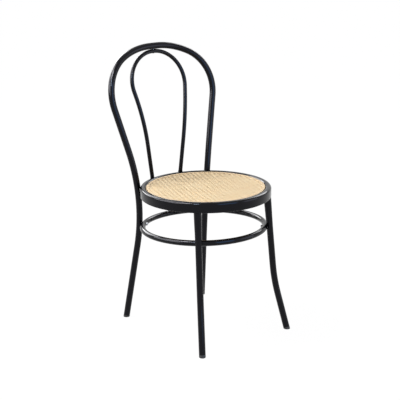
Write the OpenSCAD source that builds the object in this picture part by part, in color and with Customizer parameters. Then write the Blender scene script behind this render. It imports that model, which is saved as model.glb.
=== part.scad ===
// Hooped bistro chair: bent steel tube, a rolled seat ring and a cane seat.
// Millimetres. The front faces -Y and +Z is up. Left is -X, as seen from the front.
// The origin is on the floor, on the chair's centre plane, midway along its depth.

/* [Seat] */
// Outer diameter of the seat ring
seat_d = 405; // [395:1:412]
// Height of the seat ring's top above the floor, at its centre
seat_height = 458; // [440:0.1:470]
// Fall of the seat towards the back, in degrees
seat_tilt = 0.8; // [0:0.1:2]
// Width of the seat ring's section
ring_w = 19; // [17:0.5:20]
// Height of the seat ring's section
ring_h = 31.3; // [30:0.1:34]
// Wall of the seat ring's section
ring_wall = 1.5; // [1.2:0.1:2]
// Rounding of the seat ring's top edges
ring_top_r = 7; // [4:0.5:7.5]
// Rounding of the seat ring's bottom edges
ring_bottom_r = 2.5; // [2:0.1:3.5]
// Thickness of the seat board at its rim
board_t = 9; // [8:0.5:10]
// Drop from the ring's top to the cane border's top
border_drop = 1.5; // [0.5:0.1:2.5]
// Width of the smooth border round the cane
border_w = 9; // [6:0.5:12]
// Thickness of the border
border_t = 3.5; // [3:0.1:4]
// Thickness of the woven cane
cane_t = 1.2; // [0.8:0.1:1.6]
// Drop from the border's top to the cane at its edge
cane_drop = 1.1; // [0.5:0.1:1.5]
// Depth of the dish in the middle of the seat
dish = 2.8; // [0:0.1:3.5]

/* [Back frame] */
// Overall height of the chair
overall_height = 871; // [850:1:890]
// Diameter of the tube of the back frame and the front legs
tube_d = 20.5; // [19:0.5:22]
// Wall of that tube
tube_wall = 1.5; // [1.2:0.1:2]
// Angle of the uprights round the seat ring, from the chair's side
back_angle = 49.4; // [45:0.1:54]
// Drop from the ring's top to the back bolts
back_bolt_drop = 21.5; // [20:0.1:22.5]
// Thickness of the spacer between ring and upright
back_spacer_t = 3; // [2:0.1:5]
// Rear foot, outwards from the seat joint
rear_foot_out = 19.1; // [10:0.1:30]
// Rear foot, backwards from the seat joint
rear_foot_back = 48.3; // [35:0.1:60]
// Bend of the upright at the seat, outwards from the seat joint
waist_out = -15.6; // [-22:0.1:-12]
// Bend of the upright at the seat, backwards from the seat joint
waist_back = -12.8; // [-18:0.1:-8]
// Height of the bend at the seat
waist_z = 405; // [398:1:412]
// Radius of the bend at the seat
waist_r = 688; // [600:1:700]
// Corner of the hoop's shoulder, outwards from the seat joint
shoulder_out = 81.2; // [75:0.1:88]
// Corner of the hoop's shoulder, backwards from the seat joint
shoulder_back = 56.5; // [50:0.1:63]
// Height of the shoulder's corner, as a share of the way from the seat to the top
shoulder_share = 0.811; // [0.8:0.001:0.82]
// Straight tube left between the bends of the shoulder and the crown
hoop_straight = 1.4; // [1:0.1:10]
// Corner of the hoop's crown, out from the centre plane
crown_out = 72.7; // [71:0.1:76]
// Top of the hoop, backwards from the seat joint
crown_back = 99; // [90:0.1:110]
// Radius of the bend at the crown
crown_r = 238; // [200:1:240]

/* [Inner hoop] */
// Diameter of the inner hoop's tube
inner_tube_d = 13; // [12:0.5:14]
// Wall of the inner hoop's tube
inner_tube_wall = 1.2; // [1:0.1:1.5]
// Angle of the inner hoop's ends round the seat ring, from the chair's side
inner_angle = 73.9; // [71:0.1:77]
// Thickness of the hoop's ends, where they are pressed flat
flat_t = 6.4; // [5:0.1:8]
// Width of the ends, where they are pressed flat
flat_w = 16.6; // [15:0.1:18]
// Length of a flat end below its screw
flat_tail = 7.5; // [7:0.1:9]
// Corner at the inner hoop's side, outwards from its end
inner_side_out = 25.9; // [20:0.1:35]
// Corner at the inner hoop's side, backwards from its end
inner_side_back = 3.3; // [0:0.1:12]
// Height of the corner at the inner hoop's side, as a share of the way from the seat to the top
inner_side_share = 0.4467; // [0.42:0.0001:0.47]
// Radius of the bend at the inner hoop's side
inner_side_r = 600; // [450:1:610]
// Corner of the inner hoop's top, out from the centre plane
inner_top_out = 124.9; // [121:0.1:129]
// Radius of the bend at the inner hoop's top
inner_top_r = 100.5; // [90:0.5:101]

/* [Front legs] */
// Angle of the front legs round the seat ring, from the chair's side
front_angle = 42.9; // [39:0.1:48]
// Step inwards from the seat ring's outside to the front legs
front_inset = 2.5; // [0:0.1:4]
// Front foot, outwards from the leg's top
front_foot_out = 34.5; // [25:0.1:45]
// Front foot, forwards from the leg's top
front_foot_fwd = 64.4; // [50:0.1:75]
// Bend of the front leg, outwards from its top
front_knee_out = 10.9; // [8:0.1:14]
// Bend of the front leg, forwards from its top
front_knee_fwd = 26.1; // [22:0.1:30]
// Height of the front leg's bend
front_knee_z = 161.5; // [150:0.5:175]
// Radius of the front leg's bend
front_knee_r = 560; // [450:5:650]
// Length of a foot cap that shows below the tube
cap_h = 7; // [5:0.5:10]
// Length of a foot cap's stem
cap_stem = 22; // [16:1:30]

/* [Foot ring] */
// Diameter of the foot ring's tube
foot_tube_d = 17.8; // [16:0.1:19]
// Wall of the foot ring's tube
foot_tube_wall = 1.2; // [1:0.1:1.5]
// Height of the foot ring's plane above the floor, at the seat's centre
foot_ring_z = 326.9; // [310:0.1:345]
// Fall of the foot ring towards the back, in degrees
foot_ring_tilt = 1.9; // [0:0.1:3]
// Depth of the pressed seats that the foot ring sits in
press_depth = 3.8; // [2:0.1:4.5]

/* [Fasteners] */
// Gap between pieces that seat on each other
seat_gap = 0.1; // [0.05:0.05:0.2]
// Extra radius of a screw's hole
hole_gap = 0.3; // [0.2:0.05:0.5]
// Gap between a screw and the thread that it turns in
thread_gap = 0.05; // [0.02:0.01:0.1]
// Thread diameter of the back bolts and the front leg studs
big_thread = 6; // [5:1:6]
// Thread diameter of the foot ring's and the inner hoop's screws
small_thread = 5; // [4:1:5]
// Thread diameter of the board's screws
wood_thread = 4; // [3.5:0.1:4.5]
// Wall of a threaded insert
insert_wall = 1.5; // [1.2:0.1:1.7]
// Length of a threaded insert
insert_len = 9; // [7:0.5:11]
// Thickness of a washer
washer_t = 1.2; // [0.8:0.1:1.6]
// Reach of a seat lug under the board
lug_reach = 26; // [22:0.5:32]
// Width of a seat lug
lug_w = 24; // [18:1:30]
// Thickness of a seat lug
lug_t = 2.5; // [2:0.1:3]
// Length of the front legs' top plugs
plug_len = 18; // [14:1:24]

/* [Hidden] */
black = [0.03, 0.03, 0.035];
cane = [0.86, 0.76, 0.58];
reed = [0.93, 0.85, 0.68];
ply = [0.72, 0.55, 0.36];
zinc = [0.7, 0.7, 0.72];
nylon = [0.06, 0.06, 0.06];
$fn = 64;

tube_sides = 20;
inner_tube_sides = 16;
// Turn between two sections of a tube in a bend, in degrees
bend_step = 7.5;
// A number of sections that a wide, shallow bend has at least
least_steps = 5;

tube_r = tube_d / 2;
inner_tube_r = inner_tube_d / 2;
foot_tube_r = foot_tube_d / 2;
seat_r = seat_d / 2;
ring_inner_r = seat_r - ring_w;

function unit(v) = v / norm(v);
function mix(a, b, t) = a + (b - a) * t;
function ease(t) = let (u = min(1, max(0, t))) u * u * (3 - 2 * u);
function mirrored(p) = [-p.x, p.y, p.z];

// A point of the seat's plane: radius, angle and height over the ring's top, tilted with the seat
function on_seat(r, a, h) =
    let (y = r * sin(a), c = cos(seat_tilt), s = sin(seat_tilt))
    [r * cos(a), y * c + h * s, seat_height - y * s + h * c];
seat_up = [0, sin(seat_tilt), cos(seat_tilt)];

// A bent centreline is a list of stations, each a point and the tube's direction there.
// It runs through corners, and each corner is rounded to its own bend radius.
function bend(p, i, radii) =
    let (
        a = unit(p[i] - p[i - 1]),
        b = unit(p[i + 1] - p[i]),
        turn = acos(min(1, a * b)),
        start = p[i] - a * radii[i] * tan(turn / 2),
        side = unit(b - a * (a * b)),
        steps = max(least_steps, ceil(turn / bend_step))
    )
    [for (k = [0:steps]) let (t = turn * k / steps)
        [start + radii[i] * (a * sin(t) + side * (1 - cos(t))), a * cos(t) + side * sin(t)]];
function bent(p, radii, last) = concat(
    [[p[0], unit(p[1] - p[0])]],
    [for (i = [1:len(p) - 2]) each bend(p, i, radii)],
    last ? [[p[len(p) - 1], unit(p[len(p) - 1] - p[len(p) - 2])]] : []
);
// How far a bend of radius 1 reaches from its corner along the tube
function bend_reach(p, i) = tan(acos(unit(p[i] - p[i - 1]) * unit(p[i + 1] - p[i])) / 2);
function blend(s, t, k) = [mix(s[0], t[0], k), unit(mix(s[1], t[1], k))];
// The station of a rising line where its height over a plane is h
function height_over(p, plane) = (p - plane[0]) * plane[1];
function station_at(line, plane, h) =
    [for (i = [0:len(line) - 2])
        let (
            low = height_over(line[i][0], plane) - h,
            high = height_over(line[i + 1][0], plane) - h
        )
        if (low <= 0 && high > 0) blend(line[i], line[i + 1], -low / (high - low))][0];
// The same line with stations added at a list of rising heights over a plane
function with_stations(line, plane, heights) = [
    for (i = [0:len(line) - 1])
        let (
            low = height_over(line[i][0], plane),
            high = i < len(line) - 1 ? height_over(line[i + 1][0], plane) : low
        )
        each concat(
            [line[i]],
            [for (h = heights) if (h > low + 0.3 && h < high - 0.3)
                blend(line[i], line[i + 1], (h - low) / (high - low))]
        )
];
function shifted(line, d) = [for (s = line) [s[0] + d, s[1]]];
function both_halves(line) = concat(
    line,
    [for (i = [len(line) - 1:-1:0]) [mirrored(line[i][0]), -mirrored(line[i][1])]]
);

// Back frame, right half, from the floor to the crown, set so that it meets its seat joint
back_joint = on_seat(seat_r + back_spacer_t + tube_r, back_angle, -back_bolt_drop);
joint_plan = [back_joint.x, back_joint.y, 0];
crown_z = overall_height - tube_r;
crown_y = back_joint.y + crown_back;
back_height = overall_height - seat_height;
back_corners = [
    joint_plan + [rear_foot_out, rear_foot_back, 0],
    joint_plan + [waist_out, waist_back, waist_z],
    joint_plan + [shoulder_out, shoulder_back, seat_height + shoulder_share * back_height],
    [crown_out, crown_y, crown_z],
    [-crown_out, crown_y, crown_z]
];
// The shoulder's bend takes all the room up to the crown's, but for the straight between them
shoulder_room = norm(back_corners[3] - back_corners[2]) - hoop_straight;
shoulder_r = (shoulder_room - crown_r * bend_reach(back_corners, 3)) / bend_reach(back_corners, 2);
rough_back = bent(back_corners, [0, waist_r, shoulder_r, crown_r, 0], false);
joint_level = [back_joint, [0, 0, 1]];
back_half = shifted(rough_back, back_joint - station_at(rough_back, joint_level, 0)[0]);
crown_point = back_half[len(back_half) - 1][0];

// Inner hoop, right half: a flat tail on the ring's outside, then up to its top under the crown
inner_end_r = seat_r + seat_gap + flat_t / 2;
inner_tail = on_seat(inner_end_r, inner_angle, -back_bolt_drop - flat_tail);
inner_rim = on_seat(inner_end_r, inner_angle, 0);
inner_crown_z = crown_z - tube_r - seat_gap - inner_tube_r;
inner_side_z = seat_height + inner_side_share * back_height;
tail_bend_r = 60;
inner_half = bent(
    [
        inner_tail,
        inner_rim,
        [inner_rim.x + inner_side_out, inner_rim.y + inner_side_back, inner_side_z],
        [inner_top_out, crown_point.y, inner_crown_z],
        [-inner_top_out, crown_point.y, inner_crown_z]
    ],
    [0, tail_bend_r, inner_side_r, inner_top_r, 0],
    false
);

// Front leg, right side, from the floor to the ring's underside
leg_top = on_seat(seat_r - front_inset - tube_r, -front_angle, -ring_h - seat_gap);
leg_plan = [leg_top.x, leg_top.y, 0];
front_line = bent(
    [
        leg_plan + [front_foot_out, -front_foot_fwd, 0],
        leg_plan + [front_knee_out, -front_knee_fwd, front_knee_z],
        leg_top
    ],
    [0, front_knee_r, 0],
    true
);

// Foot ring: the circle round which all four legs stand, less the depth of their pressed seats
foot_plane = [[0, 0, foot_ring_z], [0, sin(foot_ring_tilt), cos(foot_ring_tilt)]];
front_cross = station_at(front_line, foot_plane, 0)[0];
rear_cross = station_at(back_half, foot_plane, 0)[0];
function along_plane(p) = [p.x, p.y / cos(foot_ring_tilt)];
front_on_plane = along_plane(front_cross);
rear_on_plane = along_plane(rear_cross);
foot_ring_y = (front_on_plane * front_on_plane - rear_on_plane * rear_on_plane)
    / (2 * (front_on_plane.y - rear_on_plane.y));
leg_circle_r = norm([front_on_plane.x, front_on_plane.y - foot_ring_y]);
foot_ring_r = leg_circle_r - tube_r - foot_tube_r + press_depth;
foot_front_angle = atan2(front_on_plane.y - foot_ring_y, front_on_plane.x);
foot_rear_angle = atan2(rear_on_plane.y - foot_ring_y, rear_on_plane.x);
foot_angles = [foot_front_angle, foot_rear_angle, 180 - foot_rear_angle, 180 - foot_front_angle];

// A point in the foot ring's own frame, and back
function to_foot_ring(p) =
    let (c = cos(foot_ring_tilt), s = sin(foot_ring_tilt), z = p.z - foot_ring_z)
    [p.x, p.y * c - z * s - foot_ring_y, p.y * s + z * c];
function from_foot_ring(p) =
    let (c = cos(foot_ring_tilt), s = sin(foot_ring_tilt), y = p.y + foot_ring_y)
    [p.x, y * c + p.z * s, foot_ring_z - y * s + p.z * c];
// A wall's point, pressed outwards to the surface of a tube of radius g along the foot ring
function pressed(p, g) =
    let (
        q = to_foot_ring(p),
        out = norm([q.x, q.y]),
        limit = abs(q.z) < g ? foot_ring_r + sqrt(g * g - q.z * q.z) : 0
    )
    out < limit ? from_foot_ring([q.x * limit / out, q.y * limit / out, q.z]) : p;
press_r = foot_tube_r + seat_gap * 2;
press_reach = sqrt(press_r * press_r - (press_r - press_depth) * (press_r - press_depth));
press_steps = 9;
press_heights = [for (k = [-press_steps:2:press_steps]) press_reach * 1.25 * k / press_steps];

// Half the chair's depth in front of and behind the seat's centre, which sets the origin
foot_lean = front_line[0][1];
front_reach = front_foot_fwd - leg_top.y + tube_r * norm([1, foot_lean.y / foot_lean.z]);
back_reach = crown_point.y + tube_r;
seat_y = (front_reach - back_reach) / 2;

module placed() {
    translate([0, seat_y, 0]) children();
}

module in_seat_frame() {
    placed() translate([0, 0, seat_height]) rotate([-seat_tilt, 0, 0]) children();
}

// +Z runs outwards through the seat ring at an angle round it, below the ring's top
module through_seat_ring(a, drop) {
    in_seat_frame() rotate([0, 0, a]) translate([0, 0, -drop]) rotate([0, 90, 0]) children();
}

module in_foot_frame() {
    placed()
        translate([0, 0, foot_ring_z])
            rotate([-foot_ring_tilt, 0, 0])
                translate([0, foot_ring_y, 0])
                    children();
}

module through_foot_ring(a) {
    in_foot_frame() rotate([0, 0, a]) rotate([0, 90, 0]) children();
}

// +Z runs along the direction t from the point p, and a round piece's seam is at its side
module along(p, t) {
    placed() translate(p) rotate([0, acos(t.z), atan2(t.y, t.x)]) rotate([0, 0, 90]) children();
}

module on_side(side) {
    if (side < 0) {
        mirror([1, 0, 0]) children();
    } else {
        children();
    }
}

// A closed ring of points round a station: half thickness a away from the seat's axis,
// half width b across it. A power of 1 gives an ellipse, and less gives flatter sides.
function signed_power(v, e) = sign(v) * pow(abs(v), e);
function section(s, a, b, n, e) =
    let (
        away = unit([s[0].x, s[0].y, 0]),
        x = unit(away - s[1] * (away * s[1])),
        y = cross(s[1], x)
    )
    [for (k = [0:n - 1]) let (t = 360 * k / n)
        s[0] + x * a * signed_power(cos(t), e) + y * b * signed_power(sin(t), e)];
function slid_to(p, t, plane) = p - t * (height_over(p, plane) / (t * plane[1]));
// A ring of a tube's wall: round, pressed where the foot ring sits, and cut to a plane if it has one
function round_ring(s, r, press, cut) =
    [for (p = section(s, r, r, tube_sides, 1))
        pressed(cut == undef ? p : slid_to(p, s[1], cut), press)];

// The wall between a tube's outer and inner rings, closed at both ends
module tube_wall_between(outer, inner) {
    n = len(outer[0]);
    m = len(outer);
    skin = m * n;
    points = concat([for (r = outer) each r], [for (r = inner) each r]);
    faces = concat(
        [for (i = [0:m - 2], k = [0:n - 1]) let (j = (k + 1) % n)
            each [
                [i * n + k, (i + 1) * n + k, (i + 1) * n + j],
                [i * n + k, (i + 1) * n + j, i * n + j]
            ]],
        [for (i = [0:m - 2], k = [0:n - 1]) let (j = (k + 1) % n)
            each [
                [skin + i * n + k, skin + (i + 1) * n + j, skin + (i + 1) * n + k],
                [skin + i * n + k, skin + i * n + j, skin + (i + 1) * n + j]
            ]],
        [for (k = [0:n - 1]) let (j = (k + 1) % n)
            each [[k, j, skin + j], [k, skin + j, skin + k]]],
        [for (k = [0:n - 1]) let (j = (k + 1) % n, e = (m - 1) * n)
            each [[e + k, skin + e + j, e + j], [e + k, skin + e + k, skin + e + j]]]
    );
    placed() polyhedron(points = points, faces = faces, convexity = 10);
}

module leg_tube(line, last_cut) {
    last = len(line) - 1;
    cuts = [for (i = [0:last]) i == last ? last_cut : undef];
    tube_wall_between(
        [for (i = [0:last]) round_ring(line[i], tube_r, press_r, cuts[i])],
        [for (i = [0:last]) round_ring(line[i], tube_r - tube_wall, press_r + tube_wall, cuts[i])]
    );
}

// The same line, begun above its foot cap
function above_cap(line) = concat(
    [[line[0][0] + line[0][1] * cap_h, line[0][1]]],
    [for (i = [1:len(line) - 1]) line[i]]
);
ring_underside = [leg_top, seat_up];
insert_r = big_thread / 2 + insert_wall;
small_insert_r = small_thread / 2 + insert_wall;
foot_insert_start = foot_ring_r + press_r;

// Bores through the inner walls of the legs, for the inserts that the foot ring's screws turn in
module foot_insert_bores(angles) {
    for (a = angles)
        through_foot_ring(a)
            translate([0, 0, foot_ring_r])
                cylinder(r = small_insert_r + seat_gap, h = leg_circle_r - foot_ring_r);
}

module back_frame() {
    half = with_stations(back_half, foot_plane, press_heights);
    color(black)
        difference() {
            leg_tube(both_halves(above_cap(half)));
            foot_insert_bores([foot_rear_angle, 180 - foot_rear_angle]);
            for (a = [back_angle, 180 - back_angle])
                through_seat_ring(a, back_bolt_drop)
                    translate([0, 0, seat_r])
                        cylinder(r = insert_r + seat_gap, h = back_spacer_t + tube_r);
            placed()
                translate([0, crown_point.y, crown_z - tube_r - 1])
                    cylinder(r = small_insert_r + seat_gap, h = tube_r);
        }
}

module front_leg(side) {
    line = with_stations(front_line, foot_plane, press_heights);
    color(black)
        on_side(side)
            difference() {
                leg_tube(above_cap(line), ring_underside);
                foot_insert_bores([foot_front_angle]);
            }
}

module front_leg_left() {
    front_leg(-1);
}

module front_leg_right() {
    front_leg(1);
}

// The screw at the hoops' top has its head inside the inner hoop, behind a plug
top_head_r = small_thread * 0.7;
top_head_h = small_thread * 0.5;
top_plug_r = top_head_r + 0.3;
inner_bore_r = (inner_tube_r - inner_tube_wall) * cos(180 / inner_tube_sides);

// How far an end of the inner hoop is pressed flat at a station: 1 is flat and 0 is round
flat_from = -7;
round_from = 6;
rim_plane = [on_seat(0, 0, 0), seat_up];
function flatness(s) =
    1 - ease((height_over(s[0], rim_plane) - flat_from) / (round_from - flat_from));
function hoop_ring(s, inset) =
    let (f = flatness(s))
    section(
        s,
        mix(inner_tube_r, flat_t / 2, f) - inset,
        mix(inner_tube_r, flat_w / 2, f) - inset,
        inner_tube_sides,
        mix(1, 0.5, f)
    );
flat_heights = [-12, -7, -4.8, -2.6, -0.4, 1.8, 4, 6, 12];

module inner_back_hoop() {
    line = both_halves(with_stations(inner_half, rim_plane, flat_heights));
    color(black)
        difference() {
            tube_wall_between(
                [for (s = line) hoop_ring(s, 0)],
                [for (s = line) hoop_ring(s, inner_tube_wall)]
            );
            for (a = [inner_angle, 180 - inner_angle])
                through_seat_ring(a, back_bolt_drop)
                    translate([0, 0, seat_r - 1])
                        cylinder(r = small_thread / 2 + hole_gap, h = flat_t + 2);
            placed()
                translate([0, crown_point.y, inner_crown_z])
                    cylinder(r = small_thread / 2 + hole_gap, h = inner_tube_d);
            placed()
                translate([0, crown_point.y, inner_crown_z - inner_tube_d])
                    cylinder(r = top_plug_r + seat_gap, h = inner_tube_d);
        }
}

// The outline of the seat ring's section, drawn in by an inset
corner_steps = 6;
function corner(c, r, from) =
    [for (k = [0:corner_steps]) let (t = from - 90 * k / corner_steps) c + r * [cos(t), sin(t)]];
function ring_outline(inset) =
    let (
        top = ring_top_r - inset,
        low = ring_bottom_r - inset,
        x0 = ring_inner_r + inset,
        x1 = seat_r - inset,
        y0 = -ring_h + inset,
        y1 = -inset
    )
    concat(
        corner([x0 + top, y1 - top], top, 180),
        corner([x1 - top, y1 - top], top, 90),
        corner([x1 - low, y0 + low], low, 0),
        corner([x0 + low, y0 + low], low, -90)
    );
ring_middle_r = seat_r - ring_w / 2;

module seat_ring() {
    color(black)
        difference() {
            in_seat_frame()
                rotate_extrude($fn = 128)
                    difference() {
                        polygon(ring_outline(0));
                        polygon(ring_outline(ring_wall));
                    }
            for (a = [back_angle, 180 - back_angle])
                through_seat_ring(a, back_bolt_drop)
                    translate([0, 0, ring_inner_r - 1])
                        cylinder(r = big_thread / 2 + hole_gap, h = ring_w + 2);
            for (a = [inner_angle, 180 - inner_angle])
                through_seat_ring(a, back_bolt_drop)
                    translate([0, 0, ring_inner_r - 1])
                        cylinder(r = small_thread / 2 + hole_gap, h = ring_w + 2);
            for (a = [-front_angle, 180 + front_angle])
                in_seat_frame()
                    rotate([0, 0, a])
                        translate([ring_middle_r, 0, -ring_h - 1])
                            cylinder(r = insert_r + seat_gap, h = ring_wall + 2);
        }
}

// The seat's layers, outwards from its centre
board_r = ring_inner_r - seat_gap * 3;
border_inner_r = board_r - border_w;
cane_r = border_inner_r - seat_gap;
border_top = -border_drop;
border_bottom = border_top - border_t;
board_bottom = border_bottom - board_t;
cane_edge = border_top - cane_drop;
dish_steps = 12;
function dish_line(r, h) =
    [for (k = [0:dish_steps]) let (u = k / dish_steps) [r * u, h - dish * (1 - u * u)]];
function backwards(list) = [for (i = [len(list) - 1:-1:0]) list[i]];
lug_angles = [270, 90, 180, 0];
lug_screw_r = ring_inner_r - lug_reach * 0.6;
screw_bite = board_t - 2;

module seat_board() {
    color(ply)
        in_seat_frame()
            difference() {
                rotate_extrude($fn = 128)
                    polygon(concat(
                        [[0, board_bottom], [board_r, board_bottom]],
                        [[board_r, border_bottom - seat_gap], [cane_r, border_bottom - seat_gap]],
                        backwards(dish_line(cane_r, cane_edge - cane_t - seat_gap))
                    ));
                for (a = lug_angles)
                    rotate([0, 0, a])
                        translate([lug_screw_r, 0, board_bottom - 1])
                            cylinder(r = wood_thread / 2 + thread_gap, h = screw_bite + 1.5, $fn = 24);
            }
}

module cane_sheet() {
    color(cane)
        in_seat_frame()
            rotate_extrude($fn = 128)
                polygon(concat(
                    dish_line(cane_r, cane_edge - cane_t),
                    backwards(dish_line(cane_r, cane_edge))
                ));
}

module cane_border() {
    edge_r = border_t * 0.3;
    color(reed)
        in_seat_frame()
            rotate_extrude($fn = 128)
                polygon(concat(
                    [[border_inner_r, border_bottom], [border_inner_r, border_top - edge_r]],
                    corner([border_inner_r + edge_r, border_top - edge_r], edge_r, 180),
                    corner([board_r - edge_r, border_top - edge_r], edge_r, 90),
                    [[board_r, border_bottom]]
                ));
}

// A lug: a flange that follows the ring's inner wall, and a tab under the board
lug_top = board_bottom - seat_gap;
lug_flange_h = ring_h - ring_bottom_r + lug_top;

module seat_lug(a) {
    color(black)
        in_seat_frame()
            rotate([0, 0, a])
                difference() {
                    intersection() {
                        translate([0, 0, lug_top - lug_flange_h])
                            cylinder(r = ring_inner_r - seat_gap / 2, h = lug_flange_h, $fn = 128);
                        union() {
                            translate([ring_inner_r - lug_reach, -lug_w / 2, lug_top - lug_t])
                                cube([lug_reach, lug_w, lug_t]);
                            translate([ring_inner_r - lug_t - 1, -lug_w / 2, lug_top - lug_flange_h])
                                cube([lug_t + 1, lug_w, lug_flange_h]);
                        }
                    }
                    translate([lug_screw_r, 0, lug_top - lug_t - 1])
                        cylinder(r = wood_thread / 2 + hole_gap, h = lug_t + 2, $fn = 24);
                }
}

module seat_lug_front() {
    seat_lug(lug_angles[0]);
}

module seat_lug_rear() {
    seat_lug(lug_angles[1]);
}

module seat_lug_left() {
    seat_lug(lug_angles[2]);
}

module seat_lug_right() {
    seat_lug(lug_angles[3]);
}

// A domed head with a hexagon socket, its flat side at z = 0 and its dome towards -Z
module domed_head(thread) {
    r = thread * 0.9;
    h = thread * 0.55;
    socket = thread * 0.3;
    difference() {
        rotate_extrude($fn = 32)
            polygon([
                [0, 0], [r, 0], [r, -h * 0.3], [r * 0.86, -h * 0.66],
                [r * 0.6, -h * 0.9], [r * 0.3, -h], [0, -h]
            ]);
        translate([0, 0, -h - 1])
            cylinder(r = socket, h = h * 0.55 + 1, $fn = 6);
    }
}

module seat_screws() {
    tip = screw_bite * 0.3;
    color(zinc)
        in_seat_frame()
            for (a = lug_angles)
                rotate([0, 0, a])
                    translate([lug_screw_r, 0, lug_top - lug_t - seat_gap]) {
                        domed_head(wood_thread);
                        cylinder(r = wood_thread / 2, h = screw_bite + lug_t - tip, $fn = 24);
                        translate([0, 0, screw_bite + lug_t - tip])
                            cylinder(r1 = wood_thread / 2, r2 = 0.3, h = tip, $fn = 24);
                    }
}

// Where a flat washer of a radius rests on the hollow inner wall of the seat ring
function on_inner_wall(r) = sqrt(ring_inner_r * ring_inner_r - r * r) - seat_gap / 2;
big_washer_r = big_thread + 0.5;
small_washer_r = small_thread;
back_washer_z = on_inner_wall(big_washer_r);
nut_washer_z = on_inner_wall(small_washer_r);
upright_face = seat_r + back_spacer_t;

module back_spacer(side) {
    tube_way = station_at(back_half, joint_level, 0)[1];
    lip = 3;
    color(nylon)
        on_side(side)
            difference() {
                through_seat_ring(back_angle, back_bolt_drop)
                    translate([0, 0, seat_r - 2])
                        cylinder(r = 8.5, h = back_spacer_t + lip + 2);
                in_seat_frame()
                    translate([0, 0, -ring_h * 1.5])
                        cylinder(r = seat_r + seat_gap / 2, h = ring_h * 2, $fn = 128);
                along(back_joint, tube_way)
                    translate([0, 0, -ring_h])
                        cylinder(r = tube_r + seat_gap / 2, h = ring_h * 2);
                through_seat_ring(back_angle, back_bolt_drop)
                    translate([0, 0, seat_r - 2])
                        cylinder(r = big_thread / 2 + hole_gap, h = back_spacer_t + tube_r);
            }
}

module back_spacer_left() {
    back_spacer(-1);
}

module back_spacer_right() {
    back_spacer(1);
}

module washer(r, bore, t) {
    difference() {
        cylinder(r = r, h = t, $fn = 32);
        translate([0, 0, -1]) cylinder(r = bore, h = t + 2, $fn = 32);
    }
}

module back_bolts() {
    start = back_washer_z - washer_t - seat_gap;
    color(zinc)
        for (a = [back_angle, 180 - back_angle])
            through_seat_ring(a, back_bolt_drop)
                translate([0, 0, start]) {
                    domed_head(big_thread);
                    cylinder(r = big_thread / 2, h = upright_face + insert_len - start, $fn = 32);
                }
}

module back_bolt_washers() {
    color(zinc)
        for (a = [back_angle, 180 - back_angle])
            through_seat_ring(a, back_bolt_drop)
                translate([0, 0, back_washer_z - washer_t])
                    washer(big_washer_r, big_thread / 2 + seat_gap, washer_t);
}

module insert(thread) {
    difference() {
        cylinder(r = thread / 2 + insert_wall, h = insert_len, $fn = 32);
        translate([0, 0, -1]) cylinder(r = thread / 2 + thread_gap, h = insert_len + 2, $fn = 32);
    }
}

// How far an insert sits back from a round tube's face, so that its rim is flush
function sunk(r) = tube_r - sqrt(tube_r * tube_r - r * r) + seat_gap;

module back_inserts() {
    color(zinc)
        for (a = [back_angle, 180 - back_angle])
            through_seat_ring(a, back_bolt_drop)
                translate([0, 0, upright_face + sunk(insert_r)])
                    insert(big_thread);
}

module inner_hoop_screws() {
    start = inner_end_r + flat_t / 2 + seat_gap / 2;
    color(black)
        for (a = [inner_angle, 180 - inner_angle])
            through_seat_ring(a, back_bolt_drop)
                translate([0, 0, start])
                    rotate([180, 0, 0]) {
                        domed_head(small_thread);
                        cylinder(
                            r = small_thread / 2,
                            h = start - nut_washer_z + small_thread * 1.3,
                            $fn = 32
                        );
                    }
}

module inner_hoop_washers() {
    color(zinc)
        for (a = [inner_angle, 180 - inner_angle])
            through_seat_ring(a, back_bolt_drop)
                translate([0, 0, nut_washer_z - washer_t])
                    washer(small_washer_r, small_thread / 2 + seat_gap, washer_t);
}

module inner_hoop_nuts() {
    nut_t = small_thread * 0.8;
    color(zinc)
        for (a = [inner_angle, 180 - inner_angle])
            through_seat_ring(a, back_bolt_drop)
                translate([0, 0, nut_washer_z - washer_t - seat_gap / 2 - nut_t])
                    difference() {
                        cylinder(r = small_thread * 0.92, h = nut_t, $fn = 6);
                        translate([0, 0, -1])
                            cylinder(r = small_thread / 2 + thread_gap, h = nut_t + 2, $fn = 32);
                    }
}

// The screw that holds the two hoops together at the crown, from below
module hoop_top_screw() {
    seat = sqrt(inner_bore_r * inner_bore_r - top_head_r * top_head_r) - seat_gap / 2;
    start = inner_crown_z + seat;
    color(zinc)
        placed()
            translate([0, crown_point.y, start]) {
                difference() {
                    translate([0, 0, -top_head_h]) cylinder(r = top_head_r, h = top_head_h, $fn = 32);
                    translate([0, 0, -top_head_h - 1])
                        cylinder(r = top_head_r * 0.5, h = top_head_h * 0.5 + 1, $fn = 6);
                }
                cylinder(r = small_thread / 2, h = crown_z - tube_r + insert_len * 0.8 - start, $fn = 32);
            }
}

module hoop_top_plug() {
    proud = 0.2;
    color(nylon)
        placed()
            translate([0, crown_point.y, inner_crown_z - inner_tube_r - proud])
                cylinder(r = top_plug_r, h = inner_tube_wall * 2 + proud, $fn = 32);
}

module hoop_top_insert() {
    color(zinc)
        placed()
            translate([0, crown_point.y, crown_z - tube_r + sunk(small_insert_r)])
                insert(small_thread);
}

// A plug in the top of a front leg, cut to the ring's underside and bored for its stud
module front_leg_plug(side) {
    way = front_line[len(front_line) - 1][1];
    bore = tube_r - tube_wall - seat_gap * 3;
    color(zinc)
        on_side(side)
            difference() {
                intersection() {
                    along(leg_top, way)
                        translate([0, 0, -plug_len])
                            cylinder(r = bore, h = plug_len * 2);
                    in_seat_frame()
                        translate([0, 0, -ring_h - seat_gap - plug_len])
                            cylinder(r = seat_d, h = plug_len);
                }
                in_seat_frame()
                    rotate([0, 0, -front_angle])
                        translate([ring_middle_r, 0, -ring_h - plug_len * 2])
                            cylinder(r = big_thread / 2 + thread_gap, h = plug_len * 3, $fn = 32);
            }
}

module front_leg_plug_left() {
    front_leg_plug(-1);
}

module front_leg_plug_right() {
    front_leg_plug(1);
}

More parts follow.
